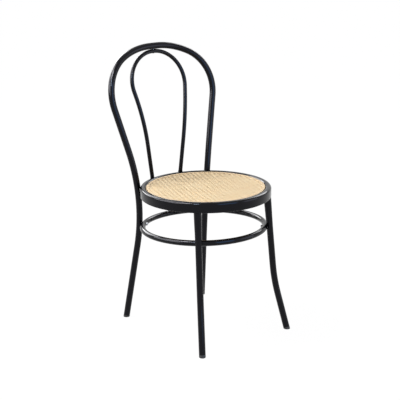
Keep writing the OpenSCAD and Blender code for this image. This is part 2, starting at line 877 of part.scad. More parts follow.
module front_leg_studs() {
    color(zinc)
        for (a = [-front_angle, 180 + front_angle])
            in_seat_frame()
                rotate([0, 0, a])
                    translate([ring_middle_r, 0, -ring_h - plug_len * 0.8])
                        cylinder(r = big_thread / 2, h = plug_len * 0.8 + insert_len, $fn = 32);
}

module front_leg_inserts() {
    color(zinc)
        for (a = [-front_angle, 180 + front_angle])
            in_seat_frame()
                rotate([0, 0, a])
                    translate([ring_middle_r, 0, -ring_h])
                        insert(big_thread);
}

module foot_ring() {
    color(black)
        difference() {
            in_foot_frame()
                rotate_extrude($fn = 128)
                    translate([foot_ring_r, 0])
                        difference() {
                            circle(r = foot_tube_r, $fn = 48);
                            circle(r = foot_tube_r - foot_tube_wall, $fn = 48);
                        }
            for (a = foot_angles)
                through_foot_ring(a)
                    translate([0, 0, foot_ring_r - foot_tube_r - 1])
                        cylinder(r = small_thread / 2 + hole_gap, h = foot_tube_d + 2, $fn = 32);
        }
}

foot_head_z = foot_ring_r - foot_tube_r - washer_t;

module foot_ring_screws() {
    color(zinc)
        for (a = foot_angles)
            through_foot_ring(a)
                translate([0, 0, foot_head_z - seat_gap]) {
                    domed_head(small_thread);
                    cylinder(
                        r = small_thread / 2,
                        h = foot_insert_start + insert_len * 0.9 - foot_head_z,
                        $fn = 32
                    );
                }
}

// A washer between a flat screw head and the ring's round tube
module foot_ring_washers() {
    lip = 1.5;
    color(zinc)
        difference() {
            for (a = foot_angles)
                through_foot_ring(a)
                    translate([0, 0, foot_head_z])
                        washer(small_washer_r, small_thread / 2 + seat_gap, washer_t + lip);
            in_foot_frame()
                rotate_extrude($fn = 720)
                    translate([foot_ring_r, 0])
                        circle(r = foot_tube_r + seat_gap / 2, $fn = 96);
        }
}

module foot_ring_inserts() {
    color(zinc)
        for (a = foot_angles)
            through_foot_ring(a)
                translate([0, 0, foot_insert_start + seat_gap])
                    insert(small_thread);
}

// A foot cap: a sole that goes on with the leg's tube down to the floor, and a stem inside it
module foot_cap(line, side) {
    stem_r = tube_r - tube_wall - seat_gap * 3;
    stem_end = cap_h + cap_stem;
    lead = 1;
    color(nylon)
        on_side(side)
            difference() {
                along(line[0][0], line[0][1])
                    rotate_extrude()
                        polygon([
                            [0, -tube_d], [tube_r, -tube_d],
                            [tube_r, cap_h - seat_gap], [stem_r, cap_h - seat_gap],
                            [stem_r, stem_end - lead], [stem_r - lead, stem_end], [0, stem_end]
                        ]);
                translate([-seat_d, -seat_d, -tube_d * 3])
                    cube([seat_d * 2, seat_d * 2, tube_d * 3]);
            }
}

module front_foot_cap_left() {
    foot_cap(front_line, -1);
}

module front_foot_cap_right() {
    foot_cap(front_line, 1);
}

module rear_foot_cap_left() {
    foot_cap(back_half, -1);
}

module rear_foot_cap_right() {
    foot_cap(back_half, 1);
}

seat_ring();
seat_board();
cane_sheet();
cane_border();
seat_lug_front();
seat_lug_rear();
seat_lug_left();
seat_lug_right();
seat_screws();
back_frame();
back_spacer_left();
back_spacer_right();
back_bolts();
back_bolt_washers();
back_inserts();
inner_back_hoop();
inner_hoop_screws();
inner_hoop_washers();
inner_hoop_nuts();
hoop_top_screw();
hoop_top_plug();
hoop_top_insert();
front_leg_left();
front_leg_right();
front_leg_plug_left();
front_leg_plug_right();
front_leg_studs();
front_leg_inserts();
foot_ring();
foot_ring_screws();
foot_ring_washers();
foot_ring_inserts();
front_foot_cap_left();
front_foot_cap_right();
rear_foot_cap_left();
rear_foot_cap_right();
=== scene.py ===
# %% [markdown]
# # A bistro chair of bent black tube
# The chair is a steel one in the old bentwood form: one long tube makes the back legs and the outer hoop,
# a thinner tube makes the inner hoop, and a deep ring holds a round cane seat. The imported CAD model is
# loaded first as a fixed frame. It says where every piece goes, so nothing here is placed by eye.

# %% Load the frame
import math
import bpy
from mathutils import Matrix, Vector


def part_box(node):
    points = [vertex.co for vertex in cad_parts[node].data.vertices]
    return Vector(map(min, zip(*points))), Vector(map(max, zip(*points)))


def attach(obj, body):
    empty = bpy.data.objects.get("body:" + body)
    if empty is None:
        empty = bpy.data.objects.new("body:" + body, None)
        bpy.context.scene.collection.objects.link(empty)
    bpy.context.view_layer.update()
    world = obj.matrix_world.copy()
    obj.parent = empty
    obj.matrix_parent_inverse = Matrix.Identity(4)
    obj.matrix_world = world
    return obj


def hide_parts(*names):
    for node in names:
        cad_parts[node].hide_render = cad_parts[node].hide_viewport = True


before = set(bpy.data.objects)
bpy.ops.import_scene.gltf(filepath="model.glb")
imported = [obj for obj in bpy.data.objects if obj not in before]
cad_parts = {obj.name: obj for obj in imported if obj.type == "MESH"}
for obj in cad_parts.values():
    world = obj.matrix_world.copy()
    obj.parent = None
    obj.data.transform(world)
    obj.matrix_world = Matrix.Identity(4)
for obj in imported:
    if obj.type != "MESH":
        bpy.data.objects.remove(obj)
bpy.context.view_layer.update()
print("CAD pieces:", len(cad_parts))

import bpy
from mathutils import Matrix, Vector

MM = 0.001

# %% [markdown]
# ## Where things are
# The sizes below are those of the CAD model, in metres. Most places are first worked out round the middle
# of the seat, and then moved by the distance from there to the model's origin. The seat falls a little to
# the back, and a point of it tilts with it. Pieces that bear on each other keep a hair's gap, as in the CAD
# model.

# %% The seat's own frame
seat_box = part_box("seat_ring")
seat_shift = Vector((0, (seat_box[0].y + seat_box[1].y) / 2, 0))
seat_radius = 202.5 * MM
seat_height = 458 * MM
seat_tilt = math.radians(0.8)
ring_width = 19 * MM
ring_height = 31.3 * MM
ring_inner_radius = seat_radius - ring_width
seat_gap = 0.1 * MM
seat_up = Vector((0, math.sin(seat_tilt), math.cos(seat_tilt)))


def tilted_plane(height, tilt):
    """A frame over the seat's middle at a height, tilted down to the back."""
    middle = seat_shift + Vector((0, 0, height))
    return Matrix.Translation(middle) @ Matrix.Rotation(-tilt, 4, "X")


seat_frame = tilted_plane(seat_height, seat_tilt)


def on_seat(radius, degrees, height):
    """A point of the seat's plane, from its radius, its angle and its height over the ring's top."""
    turn = math.radians(degrees)
    return seat_frame @ Vector((radius * math.cos(turn), radius * math.sin(turn), height))


print("seat centre", [round(v, 4) for v in on_seat(0, 0, 0)])

# %% [markdown]
# ## The bending schedule
# A tube bender works from a list: go straight, bend by this much to this radius, go straight again. The
# same list is kept here as corners, each with the radius that rounds it. The back frame's corners are
# measured from the joint where the upright is bolted to the seat ring.

# %% Corners of the tubes
tube_radius = 10.25 * MM
tube_skin = 0.12 * MM
inner_tube_radius = 6.5 * MM
foot_tube_radius = 8.9 * MM
spacer = 3 * MM
back_angle = 49.4
bolt_drop = 21.5 * MM
back_joint = on_seat(seat_radius + spacer + tube_radius, back_angle, -bolt_drop)
overall_height = 871 * MM
crown_behind = 99 * MM
crown_z = overall_height - tube_radius
crown_y = back_joint.y + crown_behind


def from_joint(out, back, height):
    """A corner of the back frame, out from and behind the seat joint, at a height over the floor."""
    return Vector((back_joint.x + out * MM, back_joint.y + back * MM, height * MM))


back_corners = [
    from_joint(19.1, 48.3, 0),
    from_joint(-15.6, -12.8, 405),
    from_joint(81.2, 56.5, 792.9),
    Vector((72.7 * MM, crown_y, crown_z)),
    Vector((0, crown_y, crown_z)),
]
back_radii = [0, 688 * MM, 134.2 * MM, 238 * MM, 0]

front_angle = 42.9
front_inset = 2.5 * MM
leg_top = on_seat(seat_radius - front_inset - tube_radius, -front_angle, -ring_height - seat_gap)


def from_leg_top(out, forward, height):
    """A corner of a front leg, out from and in front of its top, at a height over the floor."""
    return Vector((leg_top.x + out * MM, leg_top.y - forward * MM, height))


leg_corners = [from_leg_top(34.5, 64.4, 0), from_leg_top(10.9, 26.1, 161.5 * MM), leg_top]
leg_radii = [0, 560 * MM, 0]
for tube, radii in (("back frame", back_radii), ("front leg", leg_radii)):
    print(tube, "bends to", [round(r / MM, 1) for r in radii[1:-1]], "mm")

# %% [markdown]
# ## Rounding a corner
# Between two straight runs the tube turns about a centre. The start of the bend lies on the first run, a
# little before the corner, and the axis stands square to both runs. The same sums give the tube's middle
# line, which is only for measuring.


# %% One bend of a tube
def bend_at(before, corner, after, radius):
    """Where a bend starts, the centre and the axis that it turns about, and how far it turns."""
    way_in = (corner - before).normalized()
    way_out = (after - corner).normalized()
    turn = way_in.angle(way_out)
    axis = way_in.cross(way_out).normalized()
    start = corner - way_in * radius * math.tan(turn / 2)
    return start, start + axis.cross(way_in) * radius, axis, turn


def centreline(corners, radii, step=0.002):
    """Points along a bent tube's middle, close together."""
    points = [corners[0]]
    for i in range(1, len(corners) - 1):
        start, centre, axis, turn = bend_at(corners[i - 1], corners[i], corners[i + 1], radii[i])
        count = max(2, math.ceil(turn * radii[i] / step))
        points += [
            centre + Matrix.Rotation(turn * k / count, 3, axis) @ (start - centre) for k in range(count + 1)
        ]
    return points + [corners[-1]]


def crossing(points, origin, normal):
    """Where a line of points rises through a plane."""
    for a, b in zip(points, points[1:]):
        low, high = (a - origin).dot(normal), (b - origin).dot(normal)
        if low <= 0 < high:
            return a.lerp(b, low / (low - high))


# %% [markdown]
# ## Meeting the seat joint
# The big bend at the seat pulls the tube away from its corner, so the whole run is moved sideways until it
# passes through the joint.

# %% Set the back frame on its joint
missed = back_joint - crossing(centreline(back_corners, back_radii), back_joint, Vector((0, 0, 1)))
back_corners = [c + Vector((missed.x, missed.y, 0)) for c in back_corners]
back_corners[-1].x = 0
back_line = centreline(back_corners, back_radii)
crown_y = back_corners[-1].y
print("back frame moved by", [round(v / MM, 2) for v in missed], "mm to meet the seat")

# %% [markdown]
# ## Helpers for modelling by hand
# Blender's operators work on what is selected. These few helpers let go of everything, take one piece, pick
# faces, edges or vertices by where they are, and close a piece: merge what lies in one place and turn the
# faces outwards.

# %% Selecting and closing
hair = 0.1 * MM


def let_go():
    """Leave edit mode and deselect everything."""
    if bpy.context.object and bpy.context.object.mode != "OBJECT":
        bpy.ops.object.mode_set(mode="OBJECT")
    bpy.ops.object.select_all(action="DESELECT")


def take(piece):
    """Select one piece alone."""
    let_go()
    bpy.context.view_layer.objects.active = piece
    piece.select_set(True)


def named(name):
    """Name the piece that an operator has just added."""
    piece = bpy.context.object
    piece.name = piece.data.name = name
    return piece


def edit(piece):
    """Go into edit mode on one piece alone."""
    take(piece)
    bpy.ops.object.mode_set(mode="EDIT")
    bpy.ops.mesh.select_mode(type="VERT")


def pick(kind, test):
    """Select only the vertices, edges or faces whose middle passes the test."""
    bpy.ops.mesh.select_mode(type=kind)
    bpy.ops.mesh.select_all(action="DESELECT")
    bpy.ops.object.mode_set(mode="OBJECT")
    mesh = bpy.context.object.data
    if kind == "VERT":
        for v in mesh.vertices:
            v.select = test(v.co)
    elif kind == "EDGE":
        for e in mesh.edges:
            a, b = (mesh.vertices[i].co for i in e.vertices)
            e.select = test((a + b) / 2)
    else:
        for f in mesh.polygons:
            f.select = test(f.center)
    bpy.ops.object.mode_set(mode="EDIT")


def close_up(near=0.01 * MM):
    """Merge doubles, close open ends and face everything outwards, in edit mode."""
    bpy.ops.mesh.select_all(action="SELECT")
    bpy.ops.mesh.remove_doubles(threshold=near)
    bpy.ops.mesh.select_all(action="SELECT")
    bpy.ops.mesh.fill_holes(sides=0)
    bpy.ops.mesh.select_all(action="SELECT")
    bpy.ops.mesh.normals_make_consistent(inside=False)


def mend(piece):
    """Close up a whole piece."""
    edit(piece)
    close_up()
    let_go()


def apply_all(piece):
    """Apply the piece's place and every modifier."""
    take(piece)
    for modifier in list(piece.modifiers):
        bpy.ops.object.modifier_apply(modifier=modifier.name)
    bpy.ops.object.transform_apply(location=True, rotation=True, scale=True)


def soften(piece, degrees=35):
    """Shade a finished piece smooth, but keep the edges that are sharper than the angle."""
    take(piece)
    bpy.ops.object.shade_smooth_by_angle(angle=math.radians(degrees))
    piece.select_set(False)
    return piece


def stand_for(piece, slot, *nodes):
    """Fix a piece to the chair, in place of the CAD nodes that it stands for."""
    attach(piece, "root")
    if nodes:
        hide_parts(*nodes)
    return piece


# %% [markdown]
# ## Bending a tube
# A tube could be a curve with a bevel, but an operator that spins a ring of edges about a centre does what
# a bender does, and leaves clean loops across the tube. The ring is fed straight up to each bend, spun
# through it, and fed on. The steps in a bend are as many as keep the chords within a hair of the arc.

# %% Feed and bend
chord_gap = 0.05 * MM
least_steps = 4


def feed(way):
    """Push the selected ring of edges straight on."""
    bpy.ops.mesh.extrude_region_move(TRANSFORM_OT_translate={"value": way})


def bend_tube(name, radius, corners, radii, sides=32):
    """Model one bent tube from its corners, with both ends still open."""
    let_go()
    way = (corners[1] - corners[0]).normalized()
    bpy.ops.mesh.primitive_circle_add(
        vertices=sides, radius=radius, location=corners[0], rotation=way.to_track_quat("Z", "Y").to_euler()
    )
    tube = named(name)
    bpy.ops.object.transform_apply(location=True, rotation=True, scale=True)
    edit(tube)
    bpy.ops.mesh.select_all(action="SELECT")
    here = corners[0]
    for i in range(1, len(corners) - 1):
        start, centre, axis, turn = bend_at(corners[i - 1], corners[i], corners[i + 1], radii[i])
        feed(start - here)
        step_turn = 2 * math.acos(1 - chord_gap / radii[i])
        steps = max(least_steps, math.ceil(turn / step_turn))
        bpy.ops.mesh.spin(steps=steps, angle=-turn, center=centre, axis=axis)
        here = centre + Matrix.Rotation(turn, 3, axis) @ (start - centre)
    feed(corners[-1] - here)
    bpy.ops.object.mode_set(mode="OBJECT")
    line = centreline(corners, radii)
    length = sum((b - a).length for a, b in zip(line, line[1:]))
    print(f"{name}: {length:.3f} m of tube, {len(tube.data.polygons)} faces")
    return tube


# %% [markdown]
# ## The foot ring's plane
# The four legs stand round a circle, and the foot ring is that circle less the depth of the seats that are
# pressed into the legs. The circle is worked out from where the legs pass through the ring's plane.

# %% Where the foot ring runs
foot_tilt = math.radians(1.9)
press_depth = 3.8 * MM
foot_height = 326.9 * MM
foot_plane = tilted_plane(foot_height, foot_tilt)
foot_up = Vector((0, math.sin(foot_tilt), math.cos(foot_tilt)))
leg_line = centreline(leg_corners, leg_radii)
into_foot_plane = foot_plane.inverted()
front_cross = into_foot_plane @ crossing(leg_line, foot_plane.translation, foot_up)
rear_cross = into_foot_plane @ crossing(back_line, foot_plane.translation, foot_up)
foot_middle = (front_cross.xy.length_squared - rear_cross.xy.length_squared) / (
    2 * (front_cross.y - rear_cross.y)
)
foot_frame = foot_plane @ Matrix.Translation((0, foot_middle, 0))
leg_circle = math.hypot(front_cross.x, front_cross.y - foot_middle)
foot_ring_radius = leg_circle - tube_radius - foot_tube_radius + press_depth
print("foot ring radius", round(foot_ring_radius / MM, 2), "mm")

# %% [markdown]
# ## Pressed seats
# Where the foot ring touches a leg, the leg's wall is pressed in to the ring's own curve, so that the ring
# beds into it. More loops are cut across the leg there with bisect. Then each vertex that would lie inside
# the ring is pushed out to its surface. A soft rule instead of a hard one rounds the seat's rim.

# %% Press the legs to the ring
press_radius = foot_tube_radius + 0.2 * MM
rim_softness = 0.5 * MM
rim_reach = 4 * rim_softness
press_reach = 12


def cut_loops(piece, origin, normal, heights):
    """Cut loops across a piece at a list of heights over a plane."""
    edit(piece)
    for height in heights:
        bpy.ops.mesh.select_all(action="SELECT")
        bpy.ops.mesh.bisect(plane_co=origin + normal * height, plane_no=normal)
    bpy.ops.object.mode_set(mode="OBJECT")


def press_seat(tube):
    """Press the seat for the foot ring into one leg, in loops a millimetre apart."""
    heights = [k * MM for k in range(-press_reach, press_reach + 1)]
    cut_loops(tube, foot_frame.translation, foot_up, heights)
    into_ring = foot_frame.inverted()
    moved = 0
    for v in tube.data.vertices:
        p = into_ring @ v.co
        out = math.hypot(p.x, p.y)
        if abs(p.z) < press_radius and out < foot_ring_radius + press_radius + rim_reach:
            limit = foot_ring_radius + math.sqrt(press_radius**2 - p.z**2)
            gap = (limit - out) / rim_softness
            pushed = out + rim_softness * (math.log1p(math.exp(-abs(gap))) + max(gap, 0))
            pushed = max(pushed, limit) if gap > 0 else pushed
            v.co = foot_frame @ Vector((p.x * pushed / out, p.y * pushed / out, p.z))
            moved += 1
    print(f"{tube.name}: {moved} vertices pressed")


# %% [markdown]
# ## The back frame
# One tube, more than two metres of it, runs from one rear foot over the top and down to the other. Half of
# it is bent and pressed, and a Mirror modifier makes the other half, as the two sides of the real tube come
# off the same stops. Each leg ends a little over the floor, above its foot cap.

# %% Bend the back frame
cap_height = 7 * MM
tube_wall = 1.5 * MM
foot_hollow = 30 * MM
tube_sides = 40


def above_cap(corners):
    """The same corners, begun where the tube stands on its foot cap."""
    way = (corners[1] - corners[0]).normalized()
    return [corners[0] + way * cap_height] + corners[1:]


def foot_end(corners):
    """Where a leg's tube ends above its cap, and the way up it."""
    way = (corners[1] - corners[0]).normalized()
    return corners[0] + way * cap_height, way


def hollow_end(piece, low, up, wall, depth):
    """Turn a tube's open end into a wall with a hollow inside."""
    edit(piece)
    pick("VERT", lambda p: (p - low).dot(up) < hair)
    bpy.ops.mesh.edge_face_add()
    bpy.ops.mesh.select_mode(type="FACE")
    bpy.ops.mesh.inset(thickness=wall)
    feed(up * depth)
    let_go()


def mirror_over(piece):
    """Mirror a half over the chair's centre plane and close the ends."""
    mirror = piece.modifiers.new("Mirror", "MIRROR")
    mirror.use_axis = (True, False, False)
    mirror.merge_threshold = 0.05 * MM
    apply_all(piece)
    mend(piece)


back_frame = bend_tube(
    "back_frame_tube", tube_radius - tube_skin, above_cap(back_corners), back_radii, tube_sides
)
press_seat(back_frame)
hollow_end(back_frame, *foot_end(back_corners), tube_wall, foot_hollow)
mirror_over(back_frame)
soften(back_frame)
stand_for(back_frame, "black_enamel", "back_frame")

# %% [markdown]
# ## The front legs
# A front leg is shorter. It is bent once, made too long, and cut to the underside of the seat ring with
# bisect, as the real one is sawn at an angle. In the photo its top is a little thicker than its foot, so
# its last hand's breadth is cut into loops and swelled.

# %% Bend the front legs
swell = 1.5 * MM
swell_length = 110 * MM
swell_loops = 11


def fade(share):
    """Go from 0 to 1 with a soft start and a soft end."""
    share = min(1, max(0, share))
    return share * share * (3 - 2 * share)


def swell_top(leg, way):
    """Thicken a leg towards its top."""
    steps = range(swell_loops + 1)
    cut_loops(leg, leg_top, way, [-k * swell_length / swell_loops for k in steps])
    for v in leg.data.vertices:
        height = (v.co - leg_top).dot(way)
        middle = leg_top + way * height
        v.co += (v.co - middle).normalized() * swell * fade(1 + height / swell_length)


def front_leg(name, node, side):
    """One front leg: bent, pressed, cut to the ring and turned to its side of the chair."""
    way = (leg_corners[2] - leg_corners[1]).normalized()
    long_corners = above_cap(leg_corners[:2] + [leg_top + way * tube_radius])
    leg = bend_tube(name, tube_radius - tube_skin, long_corners, leg_radii, tube_sides)
    press_seat(leg)
    swell_top(leg, way)
    hollow_end(leg, *foot_end(leg_corners), tube_wall, foot_hollow)
    edit(leg)
    bpy.ops.mesh.select_all(action="SELECT")
    bpy.ops.mesh.bisect(plane_co=leg_top, plane_no=seat_up, clear_outer=True, use_fill=True)
    close_up()
    let_go()
    leg.scale.x = side
    apply_all(leg)
    mend(leg)
    soften(leg)
    return stand_for(leg, "black_enamel", node)


front_leg_left = front_leg("front_leg_left_tube", "front_leg_left", -1)
front_leg_right = front_leg("front_leg_right_tube", "front_leg_right", 1)

# %% [markdown]
# ## The inner hoop
# It is bent like the back frame, from thinner tube. Its two ends are pressed flat, to lie on the outside of
# the seat ring under a screw. The tube's outline goes over from round to flat within a finger's breadth.

# %% Bend the inner hoop
flat_thickness = 6.4 * MM
flat_width = 16.6 * MM
inner_end_radius = seat_radius + seat_gap + flat_thickness / 2
inner_angle = 73.9
tail_length = 29 * MM
inner_tail = on_seat(inner_end_radius, inner_angle, -tail_length)
inner_rim = on_seat(inner_end_radius, inner_angle, 0)
inner_crown_z = crown_z - tube_radius - seat_gap - inner_tube_radius
inner_corners = [
    inner_tail,
    inner_rim,
    Vector((inner_rim.x + 25.9 * MM, inner_rim.y + 3.3 * MM, 642.6 * MM)),
    Vector((124.9 * MM, crown_y, inner_crown_z)),
    Vector((0, crown_y, inner_crown_z)),
]
inner_radii = [0, 60 * MM, 600 * MM, 100.5 * MM, 0]
inner_hoop = bend_tube("inner_hoop_tube", inner_tube_radius, inner_corners, inner_radii)

# %% [markdown]
# A press brings two sides of the tube together, and the other two move out. Here each vertex keeps its turn
# round the tube and moves to that place on a flatter outline. A power under 1 squares the outline up, and
# along the tube it fades from flat to round.

# %% Press its end flat
flat_from = -7 * MM
round_from = 6 * MM
squareness = 0.5
away = Vector((inner_rim.x, inner_rim.y - seat_shift.y, 0)).normalized()
across = seat_up.cross(away).normalized()
away = across.cross(seat_up)
side_way = (inner_corners[2] - inner_corners[1]).normalized()


def signed_power(value, power):
    """A power that keeps the sign: under 1 it squares up an ellipse."""
    return math.copysign(abs(value) ** power, value)


flat_loops = range(-14, 10)
cut_loops(inner_hoop, inner_rim, seat_up, [k * MM for k in flat_loops])
for v in inner_hoop.data.vertices:
    height = (v.co - inner_rim).dot(seat_up)
    if height > round_from:
        continue
    flat = 1 - fade((height - flat_from) / (round_from - flat_from))
    if height < 0:
        middle = inner_rim + seat_up * height
    else:
        middle = inner_rim + side_way * (height / side_way.dot(seat_up))
    offset = v.co - middle
    turn = math.atan2(offset.dot(across), offset.dot(away))
    power = 1 - squareness * flat
    thick = inner_tube_radius + (flat_thickness / 2 - inner_tube_radius) * flat
    wide = inner_tube_radius + (flat_width / 2 - inner_tube_radius) * flat
    v.co = (
        middle
        + seat_up * offset.dot(seat_up)
        + away * thick * signed_power(math.cos(turn), power)
        + across * wide * signed_power(math.sin(turn), power)
    )
print("inner hoop's ends pressed to", round(flat_thickness / MM, 1), "x", round(flat_width / MM, 1), "mm")

# %% [markdown]
# The tail is an open tube, so its cut end shows a wall and a dark slot. The end is filled, inset by the
# wall's thickness and pushed up inside.

# %% Open its end
inner_wall = 1.2 * MM
tail_hollow = 12 * MM
hollow_end(inner_hoop, inner_tail, seat_up, inner_wall, tail_hollow)
mirror_over(inner_hoop)
soften(inner_hoop)
stand_for(inner_hoop, "black_enamel", "inner_back_hoop")
print("inner_hoop_tube:", len(inner_hoop.data.polygons), "faces with both ends open")

# %% [markdown]
# ## The seat ring
# The ring is a deep tube section rolled to a circle: its top edges are round and its bottom edges nearly
# square. A plane the size of the section has its corners bevelled, and the outline is spun round the seat.


# %% Spin a section round the seat
def spin_round(steps):
    """Spin what is selected all the way round the origin's upright axis."""
    bpy.ops.mesh.spin(steps=steps, angle=-2 * math.pi, center=(0, 0, 0), axis=(0, 0, 1))


def spin_section(name, inner, outer, low, high, bevels, steps=192):
    """Bevel the corners of a flat section and spin it round the seat's middle."""
    let_go()
    bpy.ops.mesh.primitive_plane_add(size=1, rotation=(math.pi / 2, 0, 0))
    ring = named(name)
    ring.scale = (outer - inner, high - low, 1)
    ring.location = ((outer + inner) / 2, 0, (low + high) / 2)
    apply_all(ring)
    edit(ring)
    for end, radii in ((high, bevels[0]), (low, bevels[1])):
        for side, radius in zip((inner, outer), radii):
            corner = Vector((side, 0, end))
            pick("VERT", lambda p: (p - corner).length < 0.001 * MM)
            bpy.ops.mesh.bevel(
                offset=radius, offset_type="OFFSET", segments=8, affect="VERTICES", profile=0.5
            )
    bpy.ops.mesh.select_mode(type="FACE")
    bpy.ops.mesh.select_all(action="SELECT")
    bpy.ops.mesh.delete(type="ONLY_FACE")
    bpy.ops.mesh.select_mode(type="EDGE")
    bpy.ops.mesh.select_all(action="SELECT")
    spin_round(steps)
    close_up()
    let_go()
    ring.data.transform(seat_frame)
    print(f"{name}: {len(ring.data.polygons)} faces")
    return ring


top_radius = 7 * MM
bottom_radius = 2.5 * MM
seat_ring = spin_section(
    "seat_ring_rolled", ring_inner_radius, seat_radius, -ring_height, 0,
    ((top_radius, top_radius), (bottom_radius, bottom_radius)),
)
soften(seat_ring)
stand_for(seat_ring, "black_enamel", "seat_ring")

# %% [markdown]
# ## The cane's border
# A flat reed is pressed into the groove round the cane, and holds its edge. It is smooth, a little crowned,
# and lighter than the weave.

# %% The reed border
board_radius = ring_inner_radius - 3 * seat_gap
border_width = 9 * MM
border_thickness = 3.5 * MM
border_edge = 1.2 * MM
border_inner = board_radius - border_width
border_top = -1.5 * MM
border_bottom = border_top - border_thickness
cane_border = spin_section(
    "cane_border_reed", border_inner, board_radius, border_bottom, border_top,
    ((border_edge, border_edge), ()),
)
soften(cane_border)
stand_for(cane_border, "smooth_reed", "cane_border")

# %% [markdown]
# ## The foot ring
# The foot ring is one length of thin tube, rolled to a circle and butt welded. A circle of edges is spun
# all the way round. The weld is ground, but never quite flush: a low bead is left at the back, so a few
# loops are cut there and lifted by a hair.

# %% Roll the foot ring
seam_half = 2 * MM
seam_height = 0.25 * MM
seam_loops = 4
let_go()
bpy.ops.mesh.primitive_circle_add(
    vertices=28, radius=foot_tube_radius, location=(foot_ring_radius, 0, 0), rotation=(math.pi / 2, 0, 0)
)
foot_ring = named("foot_ring_rolled")
bpy.ops.object.transform_apply(location=True, rotation=True, scale=True)
edit(foot_ring)
bpy.ops.mesh.select_all(action="SELECT")
spin_round(180)
close_up()
seam_cuts = [k * seam_half / seam_loops for k in range(-seam_loops, seam_loops + 1)]
cut_loops(foot_ring, Vector((0, 0, 0)), Vector((1, 0, 0)), seam_cuts)
for v in foot_ring.data.vertices:
    if v.co.y > 0 and abs(v.co.x) < seam_half:
        outwards = (v.co - Vector((v.co.x, foot_ring_radius, 0))).normalized()
        v.co += outwards * seam_height * (1 - (v.co.x / seam_half) ** 2)
foot_ring.data.transform(foot_frame)
soften(foot_ring)
stand_for(foot_ring, "black_enamel", "foot_ring")
print("foot_ring_rolled:", len(foot_ring.data.polygons), "faces")

# %% [markdown]
# ## The foot caps
# Each leg stands on a short plug of black nylon, as wide as the tube and cut level with the floor. A round
# stem holds it in the tube. The cap starts as a cylinder on the leg's own line, gets its stem by an inset
# and an extrusion, and is bisected by the floor. A bevel rounds the edge that meets the floor.

# %% Mould a foot cap
stem_radius = tube_radius - 1.8 * MM
stem_length = 22 * MM
under_floor = 12 * MM
stem_edge = 1.2 * MM
sole_edge = 0.8 * MM


def foot_cap(name, node, corners, side):
    """A cap on the end of one leg, with its stem, standing on the floor."""
    way = (corners[1] - corners[0]).normalized()
    over, under = cap_height - seat_gap, -under_floor
    let_go()
    bpy.ops.mesh.primitive_cylinder_add(
        vertices=48, radius=tube_radius - tube_skin, depth=over - under, end_fill_type="NGON",
        location=corners[0] + way * (over + under) / 2, rotation=way.to_track_quat("Z", "Y").to_euler(),
    )
    cap = named(name)
    apply_all(cap)
    top = corners[0] + way * over
    edit(cap)
    pick("FACE", lambda p: (p - top).dot(way) > -hair)
    bpy.ops.mesh.inset(thickness=tube_radius - tube_skin - stem_radius)
    feed(way * stem_length)
    bpy.ops.mesh.bevel(offset=stem_edge, offset_type="OFFSET", segments=2, affect="EDGES")
    bpy.ops.mesh.select_all(action="SELECT")
    bpy.ops.mesh.bisect(plane_co=(0, 0, 0), plane_no=(0, 0, -1), clear_outer=True, use_fill=True)
    pick("FACE", lambda p: p.z < hair)
    bpy.ops.mesh.bevel(offset=sole_edge, offset_type="OFFSET", segments=3, affect="EDGES")
    close_up()
    let_go()
    cap.scale.x = side
    apply_all(cap)
    mend(cap)
    soften(cap)
    return stand_for(cap, "black_nylon", node)


foot_caps = [
    foot_cap(f"{end}_foot_cap_{hand}_moulded", f"{end}_foot_cap_{hand}", corners, side)
    for end, corners in (("front", leg_corners), ("rear", back_corners))
    for hand, side in (("left", -1), ("right", 1))
]
print("foot caps:", [round(cap.dimensions.z / MM, 1) for cap in foot_caps], "mm high")

# %% [markdown]
# ## The seat board
# A plywood disc lies in the ring under the cane. Its rim is stepped down, and the border is pressed on the
# step. The top is hollowed a little, as the seat of a pressed board is. The disc starts as a cylinder. Its
# top face is inset again and again, and the rings that this leaves are lowered to the hollow's curve.

# %% Press the seat board
cane_radius = 174.1 * MM
cane_edge = -2.6 * MM
cane_thickness = 1.2 * MM
seat_dish = 2.8 * MM
board_rim = border_bottom - seat_gap
board_thickness = 9 * MM
board_bottom = border_bottom - board_thickness
board_edge = cane_edge - cane_thickness - seat_gap
board_bevel = 1.2 * MM
dish_ring = 12 * MM
dish_rings = 14


def dished(radius, height):
    """The height of a dished sheet at a radius, from its height at the edge."""
    return height - seat_dish * (1 - min(1, radius / cane_radius) ** 2)


let_go()
bpy.ops.mesh.primitive_cylinder_add(
    vertices=144, radius=board_radius, depth=board_rim - board_bottom, end_fill_type="NGON",
    location=(0, 0, (board_rim + board_bottom) / 2),
)
seat_board = named("seat_board_pressed")
apply_all(seat_board)
edit(seat_board)
pick("FACE", lambda p: p.z > board_rim - hair)
bpy.ops.mesh.inset(thickness=board_radius - cane_radius)
feed(Vector((0, 0, board_edge - board_rim)))
for _ in range(dish_rings):
    bpy.ops.mesh.inset(thickness=dish_ring)
pick("FACE", lambda p: p.z < board_bottom + hair)
bpy.ops.mesh.bevel(offset=board_bevel, offset_type="OFFSET", segments=3, affect="EDGES")
close_up()
let_go()
for v in seat_board.data.vertices:
    if v.co.z > board_edge - hair / 2:
        v.co.z = dished(v.co.xy.length, board_edge)
seat_board.data.transform(seat_frame)
soften(seat_board)
stand_for(seat_board, "plywood", "seat_board")
print("seat_board_pressed:", len(seat_board.data.polygons), "faces")

# %% [markdown]
# ## The woven cane
# Cane webbing is woven in six passes: pairs of strands from front to back, pairs from side to side that go
# over one and under the next, and two diagonals, one over the pairs that the other goes under. That leaves
# the eight-sided holes that it is known by. A picture of it would do from afar, but not from close by, so
# each strand is modelled. A strand is a flat half-round: a five-sided ring, fed along step by step and up
# and down over its neighbours. One repeat is enough, because Array modifiers lay the rest.

